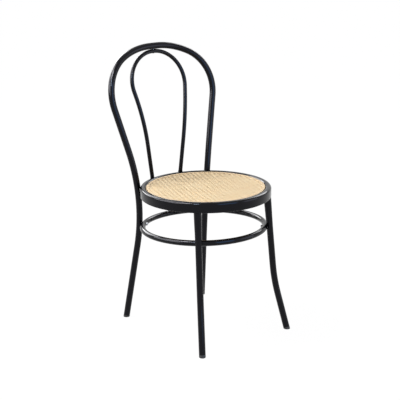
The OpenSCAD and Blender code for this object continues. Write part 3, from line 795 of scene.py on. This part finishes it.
# %% One repeat of a strand
pitch = 13.8 * MM
diagonal_pitch = pitch / math.sqrt(2)
strand_width = 2.2 * MM
diagonal_width = 2.6 * MM
strand_thickness = 0.4 * MM
pair_half = 1.35 * MM
pair_rise = 0.21 * MM
diagonal_rise = 0.42 * MM
cane_reach = 177.5 * MM
weave_turn = -22


def strand_repeat(name, width, steps):
    """One repeat of a strand along Y, from its steps of distance and height."""
    let_go()
    bpy.ops.mesh.primitive_circle_add(
        vertices=5, radius=0.5, location=(0, steps[0][0], steps[0][1]), rotation=(math.pi / 2, 0, 0)
    )
    strand = named(name)
    ring_wide = math.sin(math.radians(72))
    ring_tall = (1 + math.cos(math.radians(36))) / 2
    strand.scale = (width / ring_wide, strand_thickness / ring_tall, 1)
    apply_all(strand)
    edit(strand)
    bpy.ops.mesh.select_all(action="SELECT")
    for (y, z), (next_y, next_z) in zip(steps, steps[1:]):
        feed(Vector((0, next_y - y, next_z - z)))
    let_go()
    return strand


def lay_strands(strand, repeat, spacing, offset):
    """Lay a strand over the whole seat, its rows a spacing apart, and cut it off under the border."""
    cells = math.ceil(cane_reach / repeat)
    rows = int((cane_reach - abs(offset)) / spacing)
    for name, step, count in (
        ("Along", (0, repeat, 0), 2 * cells),
        ("Across", (spacing, 0, 0), 2 * rows + 1),
    ):
        array = strand.modifiers.new(name, "ARRAY")
        array.use_relative_offset = False
        array.use_constant_offset = True
        array.constant_offset_displace = step
        array.count = count
        array.use_merge_vertices = name == "Along"
        array.merge_threshold = 0.01 * MM
    strand.location = (offset - rows * spacing, -cells * repeat, 0)
    apply_all(strand)

    def past_border(p):
        """Whether a face lies beyond the cane's reach, measured on its strand's middle line."""
        row = round((p.x - offset) / spacing)
        return math.hypot(row * spacing + offset, p.y) > cane_reach

    edit(strand)
    pick("FACE", past_border)
    bpy.ops.mesh.delete(type="FACE")
    close_up(0.001 * MM)
    let_go()
    return strand


def join_up(name, pieces):
    """Join pieces into the first one."""
    let_go()
    for piece in pieces:
        piece.select_set(True)
    bpy.context.view_layer.objects.active = pieces[0]
    bpy.ops.object.join()
    pieces[0].name = pieces[0].data.name = name
    return pieces[0]


# %% [markdown]
# A pair's two strands rise and fall in opposite ways. Turned by a quarter, the same pairs are the cross
# pairs, because each strand that is up then meets one that is down. The diagonals run midway between the
# crossings, and each row's waves are half a repeat behind those of the row beside it.

# %% Weave the pairs
dip = 0.7 * MM
past = pair_half + 0.5 * MM
dip_rise = 0.85 * pair_rise
pair_steps = [(-past, -pair_rise), (-dip, -dip_rise), (dip, dip_rise), (past, pair_rise)]
pair_steps += [(pitch / 2, 0), (pitch - past, -pair_rise)]
pair_strands = [
    lay_strands(
        strand_repeat("pair_strand", strand_width, [(y, side * z) for y, z in pair_steps]),
        pitch, pitch, -side * pair_half,
    )
    for side in (1, -1)
]
cane_pairs = join_up("cane_pairs_woven", pair_strands)
print("strands in pairs:", len(cane_pairs.data.polygons), "faces one way")

# %% [markdown]
# A diagonal stays up over one crossing and down under the next, with a short ramp between. Its repeat is
# two diagonal pitches long, and the diagonal beside it is the same one with up and down changed over.

# %% Weave the diagonals
flat_half = 1.5 * MM
ramp_half = 2.8 * MM
wave = [(-ramp_half, 0.8), (-flat_half, 1), (flat_half, 1), (ramp_half, 0.8)]
diagonal_steps = [(diagonal_pitch / 2 + y, z * diagonal_rise) for y, z in wave]
diagonal_steps += [(y + diagonal_pitch, -z) for y, z in diagonal_steps]
diagonal_steps.append((diagonal_steps[0][0] + 2 * diagonal_pitch, diagonal_steps[0][1]))
diagonal_strands = [
    lay_strands(
        strand_repeat("diagonal_strand", diagonal_width, [(y, side * z) for y, z in diagonal_steps]),
        2 * diagonal_pitch, 2 * diagonal_pitch, -side * diagonal_pitch / 2,
    )
    for side in (1, -1)
]
cane_diagonals = join_up("cane_diagonals_woven", diagonal_strands)
print("diagonals:", len(cane_diagonals.data.polygons), "faces one way")

# %% [markdown]
# Each layer is copied and the two copies are turned across each other. Then every vertex is lowered by the
# seat's hollow, as the real cane is drawn down onto its board when it dries.


# %% Cross them and hollow them with the seat
def crossed(name, piece, turns):
    """Copy a layer of strands, turn each copy, and join the two. Each direction keeps its own material."""
    layers = []
    for turn in turns:
        take(piece)
        bpy.ops.object.duplicate()
        layer = bpy.context.object
        layer.data.transform(Matrix.Rotation(math.radians(turn), 4, "Z"))
        layer.data.materials.append(bpy.data.materials.new(f"cane_{turn}"))
        layers.append(layer)
    bpy.data.objects.remove(piece)
    layer = join_up(name, layers)
    for v in layer.data.vertices:
        v.co.z += dished(v.co.xy.length, cane_edge - cane_thickness / 2)
    layer.data.transform(seat_frame)
    soften(layer, 40)
    stand_for(layer, "woven_cane", "cane_sheet")
    print(f"{name}: {sum(len(p.vertices) - 2 for p in layer.data.polygons)} triangles")
    return layer


cane_pairs = crossed("cane_pairs", cane_pairs, (weave_turn, weave_turn + 90))
cane_diagonals = crossed("cane_diagonals", cane_diagonals, (weave_turn - 45, weave_turn + 45))

# %% [markdown]
# ## Finishes
# Every finish is built from nodes on Object coordinates, which are metres of the real chair, so a pattern
# has its real size. What several finishes share is a node group. The group gives only masks, colours and
# heights, and each material puts them on its own shader.


# %% Node helpers
def value_of(tree, target, value):
    """Give a socket a number, a colour or a link."""
    if isinstance(value, bpy.types.NodeSocket):
        tree.links.new(value, target)
    elif isinstance(value, (tuple, list)) and len(value) == 3 and target.type == "RGBA":
        target.default_value = (*value, 1)
    else:
        target.default_value = value


def add_node(tree, kind, settings=None, **inputs):
    """Add a node with its settings and inputs. _0 is the first input, and __ in a name is a space."""
    node = tree.nodes.new(kind)
    for key, value in (settings or {}).items():
        setattr(node, key, value)
    for key, value in inputs.items():
        socket = int(key[1:]) if key[1:].isdigit() else key.replace("__", " ")
        value_of(tree, node.inputs[socket], value)
    return node


def calculate(tree, operation, *values):
    """One sum on numbers, and its result."""
    node = tree.nodes.new("ShaderNodeMath")
    node.operation = operation
    for socket, value in zip(node.inputs, values):
        value_of(tree, socket, value)
    return node.outputs[0]


def between(tree, value, low, high, to_low=0.0, to_high=1.0):
    """Fade a number from one range to another, smoothly, and never past its ends."""
    node = add_node(
        tree, "ShaderNodeMapRange", {"interpolation_type": "SMOOTHSTEP"},
        Value=value, From__Min=low, From__Max=high, To__Min=to_low, To__Max=to_high,
    )
    return node.outputs["Result"]


def blend_colours(tree, factor, first, second):
    """Mix two colours."""
    node = tree.nodes.new("ShaderNodeMix")
    node.data_type = "RGBA"
    colour_a, colour_b = (s for s in node.inputs if s.type == "RGBA")
    value_of(tree, node.inputs[0], factor)
    value_of(tree, colour_a, first)
    value_of(tree, colour_b, second)
    return next(s for s in node.outputs if s.type == "RGBA")


def noise(tree, vector, scale, detail=2.0, roughness=0.5):
    """A plain noise, about 0 to 1."""
    node = add_node(
        tree, "ShaderNodeTexNoise", None, Vector=vector, Scale=scale, Detail=detail, Roughness=roughness
    )
    return node.outputs[0]


def stretched(tree, vector, scale):
    """Coordinates with a scale of their own along each axis."""
    return add_node(tree, "ShaderNodeMapping", None, Vector=vector, Scale=scale).outputs["Vector"]


def parts_of(tree, vector):
    """The X, Y and Z of a vector."""
    return add_node(tree, "ShaderNodeSeparateXYZ", None, Vector=vector).outputs


def new_group(name, inputs, outputs):
    """Start a node group with named sockets. Returns the group, its input node and its output node."""
    group = bpy.data.node_groups.new(name, "ShaderNodeTree")
    kinds = {"vector": "NodeSocketVector", "value": "NodeSocketFloat", "colour": "NodeSocketColor"}
    for socket_name, kind in inputs:
        group.interface.new_socket(name=socket_name, in_out="INPUT", socket_type=kinds[kind])
    for socket_name, kind in outputs:
        group.interface.new_socket(name=socket_name, in_out="OUTPUT", socket_type=kinds[kind])
    return group, group.nodes.new("NodeGroupInput"), group.nodes.new("NodeGroupOutput")


def use_group(tree, group, **inputs):
    """Place a group in a material."""
    node = tree.nodes.new("ShaderNodeGroup")
    node.node_tree = group
    for key, value in inputs.items():
        value_of(tree, node.inputs[key.replace("__", " ")], value)
    return node.outputs


def open_material(material):
    """A material's tree, its shader and its object coordinates."""
    material.use_nodes = True
    tree = material.node_tree
    shader = tree.nodes["Principled BSDF"]
    return tree, shader, tree.nodes.new("ShaderNodeTexCoord").outputs["Object"]


def start_material(name):
    """A new material, with its tree, its shader and its object coordinates."""
    material = bpy.data.materials.new(name)
    return material, *open_material(material)


def lay_finish(tree, shader, colour, roughness, height, depth):
    """Give a shader its colour, its roughness, and a bump of a real depth in metres."""
    value_of(tree, shader.inputs["Base Color"], colour)
    value_of(tree, shader.inputs["Roughness"], roughness)
    node = add_node(tree, "ShaderNodeBump", None, Height=height, Distance=depth, Strength=1.0)
    tree.links.new(node.outputs["Normal"], shader.inputs["Normal"])


# %% [markdown]
# Four effects are shared. The first is painted shade: the seat is darkened towards its rear, where the
# ring's rim shades the weave. Scuffs are the fine rubs and dull patches that a used chair collects: broad
# soft patches, and inside them thin marks. Dimple is the faint waviness that a sprayed coat dries with.
# Fibres are the streaks and joints of split cane.

# %% Shared effects
# Painted shade: a mask that grows towards the seat's rear, where the rim shades the weave.
darker_way = (0.27, 0.96, 0)
darker_from, darker_to = seat_shift.y + 40 * MM, seat_shift.y + 185 * MM
rear_shade, group_in, group_out = new_group("rear_shade", [("Vector", "vector")], [("Mask", "value")])
towards_back = add_node(
    rear_shade, "ShaderNodeVectorMath", {"operation": "DOT_PRODUCT"},
    _0=group_in.outputs["Vector"], _1=darker_way,
).outputs["Value"]
value_of(rear_shade, group_out.inputs["Mask"], between(rear_shade, towards_back, darker_from, darker_to))

scuffs, group_in, group_out = new_group(
    "scuffs", [("Vector", "vector"), ("Amount", "value")], [("Mask", "value"), ("Marks", "value")]
)
patches = between(scuffs, noise(scuffs, group_in.outputs["Vector"], 16, 4, 0.6), 0.5, 0.75)
thin_marks = stretched(scuffs, group_in.outputs["Vector"], (900, 900, 140))
marks = between(scuffs, noise(scuffs, thin_marks, 1, 3, 0.7), 0.62, 0.74)
mask = calculate(scuffs, "MULTIPLY", patches, group_in.outputs["Amount"])
value_of(scuffs, group_out.inputs["Mask"], mask)
value_of(scuffs, group_out.inputs["Marks"], calculate(scuffs, "MULTIPLY", marks, mask))

dimple, group_in, group_out = new_group(
    "dimple", [("Vector", "vector"), ("Scale", "value")], [("Height", "value"), ("Drift", "value")]
)
fine = noise(dimple, group_in.outputs["Vector"], group_in.outputs["Scale"], 2, 0.4)
drift = noise(dimple, group_in.outputs["Vector"], 9, 2, 0.5)
value_of(dimple, group_out.inputs["Height"], fine)
value_of(dimple, group_out.inputs["Drift"], drift)

fibres, group_in, group_out = new_group(
    "fibres",
    [("Vector", "vector"), ("Row Width", "value"), ("Light", "colour"), ("Dark", "colour")],
    [("Colour", "colour"), ("Height", "value"), ("Tone", "value")],
)
joints_per_metre = 5.2
parts = parts_of(fibres, group_in.outputs["Vector"])
row = calculate(fibres, "DIVIDE", parts["X"], group_in.outputs["Row Width"])
row = calculate(fibres, "FLOOR", row)
row_tone = add_node(fibres, "ShaderNodeTexWhiteNoise", {"noise_dimensions": "1D"}, W=row).outputs["Value"]
long_fibre = stretched(fibres, group_in.outputs["Vector"], (2600, 70, 400))
fibre = noise(fibres, long_fibre, 1, 3, 0.6)
patch = noise(fibres, group_in.outputs["Vector"], 22, 2, 0.5)
knot_at = calculate(fibres, "MULTIPLY", parts["Y"], joints_per_metre)
knot_at = calculate(fibres, "FRACT", calculate(fibres, "ADD", knot_at, row_tone))
knot = calculate(fibres, "ABSOLUTE", calculate(fibres, "SUBTRACT", knot_at, 0.5))
knot = between(fibres, knot, 0.0, 0.006, 1.0, 0.0)
knot_share = calculate(fibres, "MULTIPLY", knot, 0.8)
fine_tone = calculate(fibres, "MULTIPLY", fibre, 0.5)
tone = calculate(fibres, "ADD", fine_tone, calculate(fibres, "MULTIPLY", patch, 0.4))
tone = calculate(fibres, "ADD", tone, calculate(fibres, "MULTIPLY", row_tone, 0.35))
tone = calculate(fibres, "MAXIMUM", between(fibres, tone, 0.25, 0.95), knot_share)
value_of(
    fibres, group_out.inputs["Colour"],
    blend_colours(fibres, tone, group_in.outputs["Light"], group_in.outputs["Dark"]),
)
value_of(fibres, group_out.inputs["Height"], calculate(fibres, "ADD", fibre, knot_share))
value_of(fibres, group_out.inputs["Tone"], tone)
print("shared effects:", [group.name for group in bpy.data.node_groups])

# %% [markdown]
# ## Black enamel
# The steel is stoved with a black gloss enamel. It is almost black, with a trace of blue. What the eye
# reads is its shine: smooth enough for clear highlights, but with the faint waviness of a sprayed coat and
# with duller patches where hands and shoes rub it. The shine is kept low, because the photo's tubes are
# dark in a white room.

# %% Black enamel
enamel_shine = 0.17
enamel_tint = (0.9, 0.9, 1, 1)
fresh_black, rubbed_black = (0.0024, 0.0023, 0.0034), (0.012, 0.012, 0.014)
enamel, tree, shader, where = start_material("gloss_enamel")
rubs = use_group(tree, scuffs, Vector=where, Amount=0.25)
coat = use_group(tree, dimple, Vector=where, Scale=260.0)
dulled = between(tree, coat["Drift"], 0.3, 0.7, 0.1, 0.16)
dulled = calculate(tree, "ADD", dulled, calculate(tree, "MULTIPLY", rubs["Mask"], 0.1))
dulled = calculate(tree, "ADD", dulled, calculate(tree, "MULTIPLY", rubs["Marks"], 0.2))
shader.inputs["Specular IOR Level"].default_value = enamel_shine
shader.inputs["Specular Tint"].default_value = enamel_tint
black = blend_colours(tree, rubs["Marks"], fresh_black, rubbed_black)
lay_finish(tree, shader, black, dulled, coat["Height"], 0.012 * MM)
print(enamel.name, "has", len(tree.nodes), "nodes")

# %% [markdown]
# ## Cane
# Cane is the bark of rattan, split into flat strands. It is glossy and cream to straw in colour, with fine
# fibres along each strand, a darker line across at each joint of the plant, and every strand has its own
# tone. The fibres have to follow the strands, so each of the four directions gets its own turn of the
# coordinates.


# %% Cane in four directions
soft_shine = 0.25
cane_colours = {"Light": (0.945, 0.785, 0.52), "Dark": (0.84, 0.64, 0.375)}
# Painted shade: the darker cane colour that is laid on towards the seat's rear.
cane_in_shade = (0.62, 0.45, 0.25)


def cane_finish(material, turn, row_width):
    """Straw-coloured cane with its fibres along one direction."""
    tree, shader, where = open_material(material)
    turned = add_node(
        tree, "ShaderNodeMapping", None, Vector=where, Rotation=(0, 0, -math.radians(turn))
    ).outputs["Vector"]
    cane = use_group(tree, fibres, Vector=turned, Row__Width=row_width, **cane_colours)
    # Painted shade: the weave is darkened towards the rear, where the rim shades it.
    shade_share = calculate(tree, "MULTIPLY", use_group(tree, rear_shade, Vector=where)["Mask"], 0.35)
    colour = blend_colours(tree, shade_share, cane["Colour"], cane_in_shade)
    shader.inputs["Specular IOR Level"].default_value = soft_shine
    lay_finish(
        tree, shader, colour, between(tree, cane["Tone"], 0, 1, 0.38, 0.54), cane["Height"], 0.06 * MM
    )


for layer, row_width in ((cane_pairs, pitch / 2), (cane_diagonals, diagonal_pitch)):
    for material in layer.data.materials:
        cane_finish(material, float(material.name.removeprefix("cane_")), row_width)
        print(material.name, "finished")

# %% [markdown]
# ## Reed
# The border is the split core of the same plant, bent round the seat. Its fibres run round the ring, so the
# coordinates are bent too: the angle round the seat, times the radius, is the distance along the reed.

# %% Reed round the border
reed_colours = {"Light": (0.76, 0.6, 0.385), "Dark": (0.68, 0.505, 0.3)}
reed, tree, shader, where = start_material("split_reed")
centred = add_node(tree, "ShaderNodeMapping", None, Vector=where, Location=tuple(-seat_shift))
parts = parts_of(tree, centred.outputs["Vector"])
level = add_node(tree, "ShaderNodeCombineXYZ", None, X=parts["X"], Y=parts["Y"]).outputs[0]
reach = add_node(tree, "ShaderNodeVectorMath", {"operation": "LENGTH"}, _0=level).outputs["Value"]
turn = calculate(tree, "ARCTAN2", parts["Y"], parts["X"])
along = calculate(tree, "MULTIPLY", turn, board_radius)
bent = add_node(tree, "ShaderNodeCombineXYZ", None, X=reach, Y=along, Z=parts["Z"]).outputs[0]
strip = use_group(tree, fibres, Vector=bent, Row__Width=50 * MM, **reed_colours)
shader.inputs["Specular IOR Level"].default_value = soft_shine
dull = between(tree, strip["Tone"], 0, 1, 0.45, 0.6)
lay_finish(tree, shader, strip["Colour"], dull, strip["Height"], 0.08 * MM)
print(reed.name, "has", len(tree.nodes), "nodes")

# %% [markdown]
# ## Plywood
# The board is birch plywood. Below, it is raw: pale wood with long grain. On top, where it shows through
# the cane's holes, it is lacquered a warm cream. The edge shows its plies as darker and lighter stripes,
# one for each layer of veneer.

# %% Plywood and its lacquered top
ply_thickness = 1.5 * MM
pale_wood, dark_wood, ply_edge = (0.62, 0.44, 0.26), (0.47, 0.31, 0.17), (0.2, 0.11, 0.05)
# The last cream is painted shade, for the board's top towards the seat's rear.
pale_cream, dark_cream, cream_in_shade = (0.9, 0.73, 0.46), (0.82, 0.62, 0.36), (0.4, 0.28, 0.15)


def long_grain(tree, where):
    """The grain of the top veneer, from side to side."""
    return noise(tree, stretched(tree, where, (6, 90, 90)), 1, 5, 0.65)


plywood, tree, shader, where = start_material("birch_plywood")
grain = long_grain(tree, where)
pores = noise(tree, stretched(tree, where, (60, 1400, 900)), 1, 2)
layer = calculate(tree, "DIVIDE", parts_of(tree, where)["Z"], 2 * ply_thickness)
layer = between(tree, calculate(tree, "FRACT", layer), 0.45, 0.55)
facing = parts_of(tree, tree.nodes.new("ShaderNodeNewGeometry").outputs["Normal"])["Z"]
on_edge = between(tree, calculate(tree, "ABSOLUTE", facing), 0.3, 0.7, 1, 0)
edge_share = calculate(tree, "MULTIPLY", on_edge, calculate(tree, "MULTIPLY", layer, 0.6))
wood = blend_colours(tree, between(tree, grain, 0.3, 0.7), pale_wood, dark_wood)
wood = blend_colours(tree, edge_share, wood, ply_edge)
lay_finish(tree, shader, wood, between(tree, pores, 0.3, 0.7, 0.55, 0.75), pores, 0.08 * MM)

lacquer, tree, shader, where = start_material("lacquered_plywood")
grain = long_grain(tree, where)
cream = blend_colours(tree, between(tree, grain, 0.3, 0.7), pale_cream, dark_cream)
# Painted shade: the lacquer seen through the holes is darkened towards the seat's rear.
cream = blend_colours(tree, use_group(tree, rear_shade, Vector=where)["Mask"], cream, cream_in_shade)
shader.inputs["Specular IOR Level"].default_value = soft_shine
sprayed = use_group(tree, dimple, Vector=where, Scale=300.0)["Height"]
dull = between(tree, grain, 0.3, 0.7, 0.42, 0.52)
lay_finish(tree, shader, cream, dull, sprayed, 0.03 * MM)
print(plywood.name, "and", lacquer.name, "made")

# %% [markdown]
# ## Small metal and plastic
# Most screws, nuts and washers are bright zinc plate: metal, a little mottled, with a crystal-like
# sparkle. The two screws on the outside are blackened. Caps and spacers are nylon with the fine grain of a
# spark-eroded mould.


# %% Zinc, black screws and nylon
def plated(name, colour, worn, metallic, low, high):
    """A plated small part: mottled colour, uneven shine and a fine tooth."""
    material, tree, shader, where = start_material(name)
    mottle = noise(tree, where, 260, 4, 0.6)
    rubs = use_group(tree, scuffs, Vector=where, Amount=1.0)
    wear = calculate(tree, "MAXIMUM", between(tree, mottle, 0.45, 0.75, 0, 0.5), rubs["Marks"])
    shader.inputs["Metallic"].default_value = metallic
    dull = between(tree, mottle, 0.3, 0.7, low, high)
    tooth = noise(tree, where, 2200, 2)
    lay_finish(tree, shader, blend_colours(tree, wear, colour, worn), dull, tooth, 0.02 * MM)
    return material


zinc = plated("bright_zinc", (0.4, 0.41, 0.43), (0.3, 0.29, 0.27), 1.0, 0.36, 0.52)
black_plate = plated("black_plating", (0.016, 0.016, 0.018), (0.1, 0.1, 0.1), 0.6, 0.32, 0.5)

nylon, tree, shader, where = start_material("moulded_nylon")
grain = noise(tree, where, 1900, 3, 0.6)
floor_rub = between(tree, parts_of(tree, where)["Z"], 0, 4 * MM, 0.35, 0)
dust = calculate(tree, "MULTIPLY", floor_rub, between(tree, noise(tree, where, 160, 3), 0.4, 0.65))
dusty = blend_colours(tree, dust, (0.012, 0.012, 0.013), (0.09, 0.085, 0.08))
lay_finish(tree, shader, dusty, between(tree, grain, 0.3, 0.7, 0.42, 0.6), grain, 0.06 * MM)
print("small parts:", [zinc.name, black_plate.name, nylon.name])

# %% [markdown]
# ## Dressing the chair
# The finishes go on by the name of each piece's slot. CAD nodes that stay keep their shape and get the same
# finishes. The board has two: its top is lacquered where it faces up inside the border.

# %% Put the finishes on
finishes = {
    "black_enamel": enamel, "smooth_reed": reed, "plywood": plywood,
    "zinc_steel": zinc, "black_screws": black_plate, "black_nylon": nylon,
}
made_pieces = {
    "black_enamel": [back_frame, front_leg_left, front_leg_right, inner_hoop, seat_ring, foot_ring],
    "smooth_reed": [cane_border], "plywood": [seat_board], "black_nylon": foot_caps,
}
for slot, pieces in made_pieces.items():
    for piece in pieces:
        piece.data.materials.clear()
        piece.data.materials.append(finishes[slot])
seat_board.data.materials.append(lacquer)
from_seat = seat_frame.inverted()
for face in seat_board.data.polygons:
    if face.normal.z > 0.9 and (from_seat @ face.center).xy.length < cane_radius:
        face.material_index = 1
kept = 0
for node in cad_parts.values():
    for place in node.material_slots:
        slot = place.material.name.split(".")[0]
        if slot in finishes:
            place.material = finishes[slot]
            kept += 1
print("CAD nodes dressed:", kept)

# %% [markdown]
# ## The floor, the camera and the light
# The camera stands where the photograph was taken from, worked out from the seat's ellipse and the feet.

# %% Camera
view_turn = math.radians(39.488)
view_rise = math.radians(16.143)
focal_pixels = 1090.77
picture_side = 400
sensor = 36
right = Vector((math.cos(view_turn), -math.sin(view_turn), 0))
level_back = Vector((-math.sin(view_turn), -math.cos(view_turn), 0))
back = level_back * math.cos(view_rise) + Vector((0, 0, math.sin(view_rise)))
up = back.cross(right)
eye = Vector((-2.0777, -2.5275779, 1.3510553))
camera_data = bpy.data.cameras.new("camera")
camera_data.sensor_width = sensor
camera_data.lens = sensor * focal_pixels / picture_side
camera = bpy.data.objects.new("camera", camera_data)
camera.matrix_world = Matrix((
    (right.x, up.x, back.x, eye.x),
    (right.y, up.y, back.y, eye.y),
    (right.z, up.z, back.z, eye.z),
    (0, 0, 0, 1),
))
bpy.context.scene.collection.objects.link(camera)
bpy.context.scene.camera = camera
print("camera's lens:", round(camera_data.lens, 1), "mm")

# %% [markdown]
# The floor and the backdrop are white to the camera, and in what the metal reflects. That white comes from
# Light Path, and not from more light on the chair. The floor mixes its white with its own shading, so that
# the chair's soft shadow stays on it.


# %% Floor and backdrop
def sees_white(tree):
    """1 for the rays that see the white background: the camera's, and what metal or glass shows."""
    path = tree.nodes.new("ShaderNodeLightPath").outputs
    seen = calculate(tree, "MAXIMUM", path["Is Camera Ray"], path["Is Glossy Ray"])
    return calculate(tree, "MAXIMUM", seen, path["Is Transmission Ray"])


white = (1.0, 1.0, 1.0)
floor_glow = 1.04
floor_share = 0.93
room_colour = (0.95, 0.97, 1.0, 1)
room_strength = 0.55
let_go()
bpy.ops.mesh.primitive_plane_add(size=30)
floor = named("floor")
white_floor = bpy.data.materials.new("white_floor")
white_floor.use_nodes = True
tree = white_floor.node_tree
paint = tree.nodes["Principled BSDF"]
paint.inputs["Base Color"].default_value = (0.88, 0.88, 0.88, 1)
paint.inputs["Roughness"].default_value = 0.9
paint.inputs["Specular IOR Level"].default_value = 0.1
glow = add_node(tree, "ShaderNodeEmission", None, Color=white, Strength=floor_glow)
white_share = calculate(tree, "MULTIPLY", sees_white(tree), floor_share)
mixed = add_node(
    tree, "ShaderNodeMixShader", None, Fac=white_share, _1=paint.outputs[0], _2=glow.outputs[0]
)
tree.links.new(mixed.outputs[0], tree.nodes["Material Output"].inputs["Surface"])
floor.data.materials.append(white_floor)

scene = bpy.context.scene
scene.view_settings.view_transform = "Standard"
world = bpy.data.worlds.new("studio")
scene.world = world
world.use_nodes = True
tree = world.node_tree
room = tree.nodes["Background"]
room.inputs["Color"].default_value = room_colour
room.inputs["Strength"].default_value = room_strength
backdrop = add_node(tree, "ShaderNodeBackground", None, Color=white, Strength=1.0)
mixed = add_node(
    tree, "ShaderNodeMixShader", None, Fac=sees_white(tree), _1=room.outputs[0], _2=backdrop.outputs[0]
)
tree.links.new(mixed.outputs[0], tree.nodes["World Output"].inputs["Surface"])
print("floor's share of white:", floor_share)

# %% [markdown]
# One softbox over the seat gives the light and the soft shadow. The other lamps are seen only in what
# shines, and each stands where the photo has its highlight: along the top of the hoop, down the left of the
# right upright, on the front of the foot ring, and blue on the right of the tubes.


# %% Lamps
def softbox(name, place, width, height, power, colour):
    """A softbox that faces the seat."""
    lamp = bpy.data.lights.new(name, "AREA")
    lamp.shape = "RECTANGLE"
    lamp.size = width
    lamp.size_y = height
    lamp.energy = power
    lamp.color = colour
    stand = bpy.data.objects.new(name, lamp)
    stand.matrix_world = Matrix.Translation(place) @ (
        (on_seat(0, 0, 0) - Vector(place)).to_track_quat("-Z", "Y").to_matrix().to_4x4()
    )
    scene.collection.objects.link(stand)
    return stand


def from_view(rightwards, backwards, upwards, distance):
    """A place round the seat, given as the photographer sees it."""
    way = (right * rightwards + level_back * backwards + Vector((0, 0, upwards))).normalized()
    return on_seat(0, 0, 0) + way * distance


softbox("overhead_softbox", from_view(-0.56, 0.0, 0.8, 2.4), 1.0, 1.0, 47, (1, 0.97, 0.92))
for name, place, width, height, power, colour in (
    ("back_window", from_view(-0.62, -0.7, 0.52, 3.0), 2.2, 1.6, 130, (1, 1, 1)),
    ("back_right_window", from_view(0.46, -0.72, 0.56, 3.0), 1.7, 1.0, 46, (1, 1, 1)),
    ("left_bank", from_view(-0.82, 0.25, 0.42, 3.0), 3.0, 1.3, 132, (1, 1, 1)),
    ("right_window", from_view(0.98, 0.15, 0.12, 3.0), 1.6, 2.2, 24, (0.78, 0.82, 1)),
    ("top_lamp", from_view(-0.43, 0.36, 0.82, 3.0), 0.8, 0.9, 90, (1, 1, 1)),
    ("small_lamp", from_view(-0.24, 0.68, 0.7, 3.0), 0.3, 0.55, 38, (0.7, 0.86, 1)),
    ("blue_window", from_view(0.58, 0.75, 0.32, 3.2), 1.8, 2.2, 52, (0.2, 0.5, 1)),
):
    softbox(name, place, width, height, power, colour).visible_diffuse = False
print("lamps:", len(bpy.data.lights))
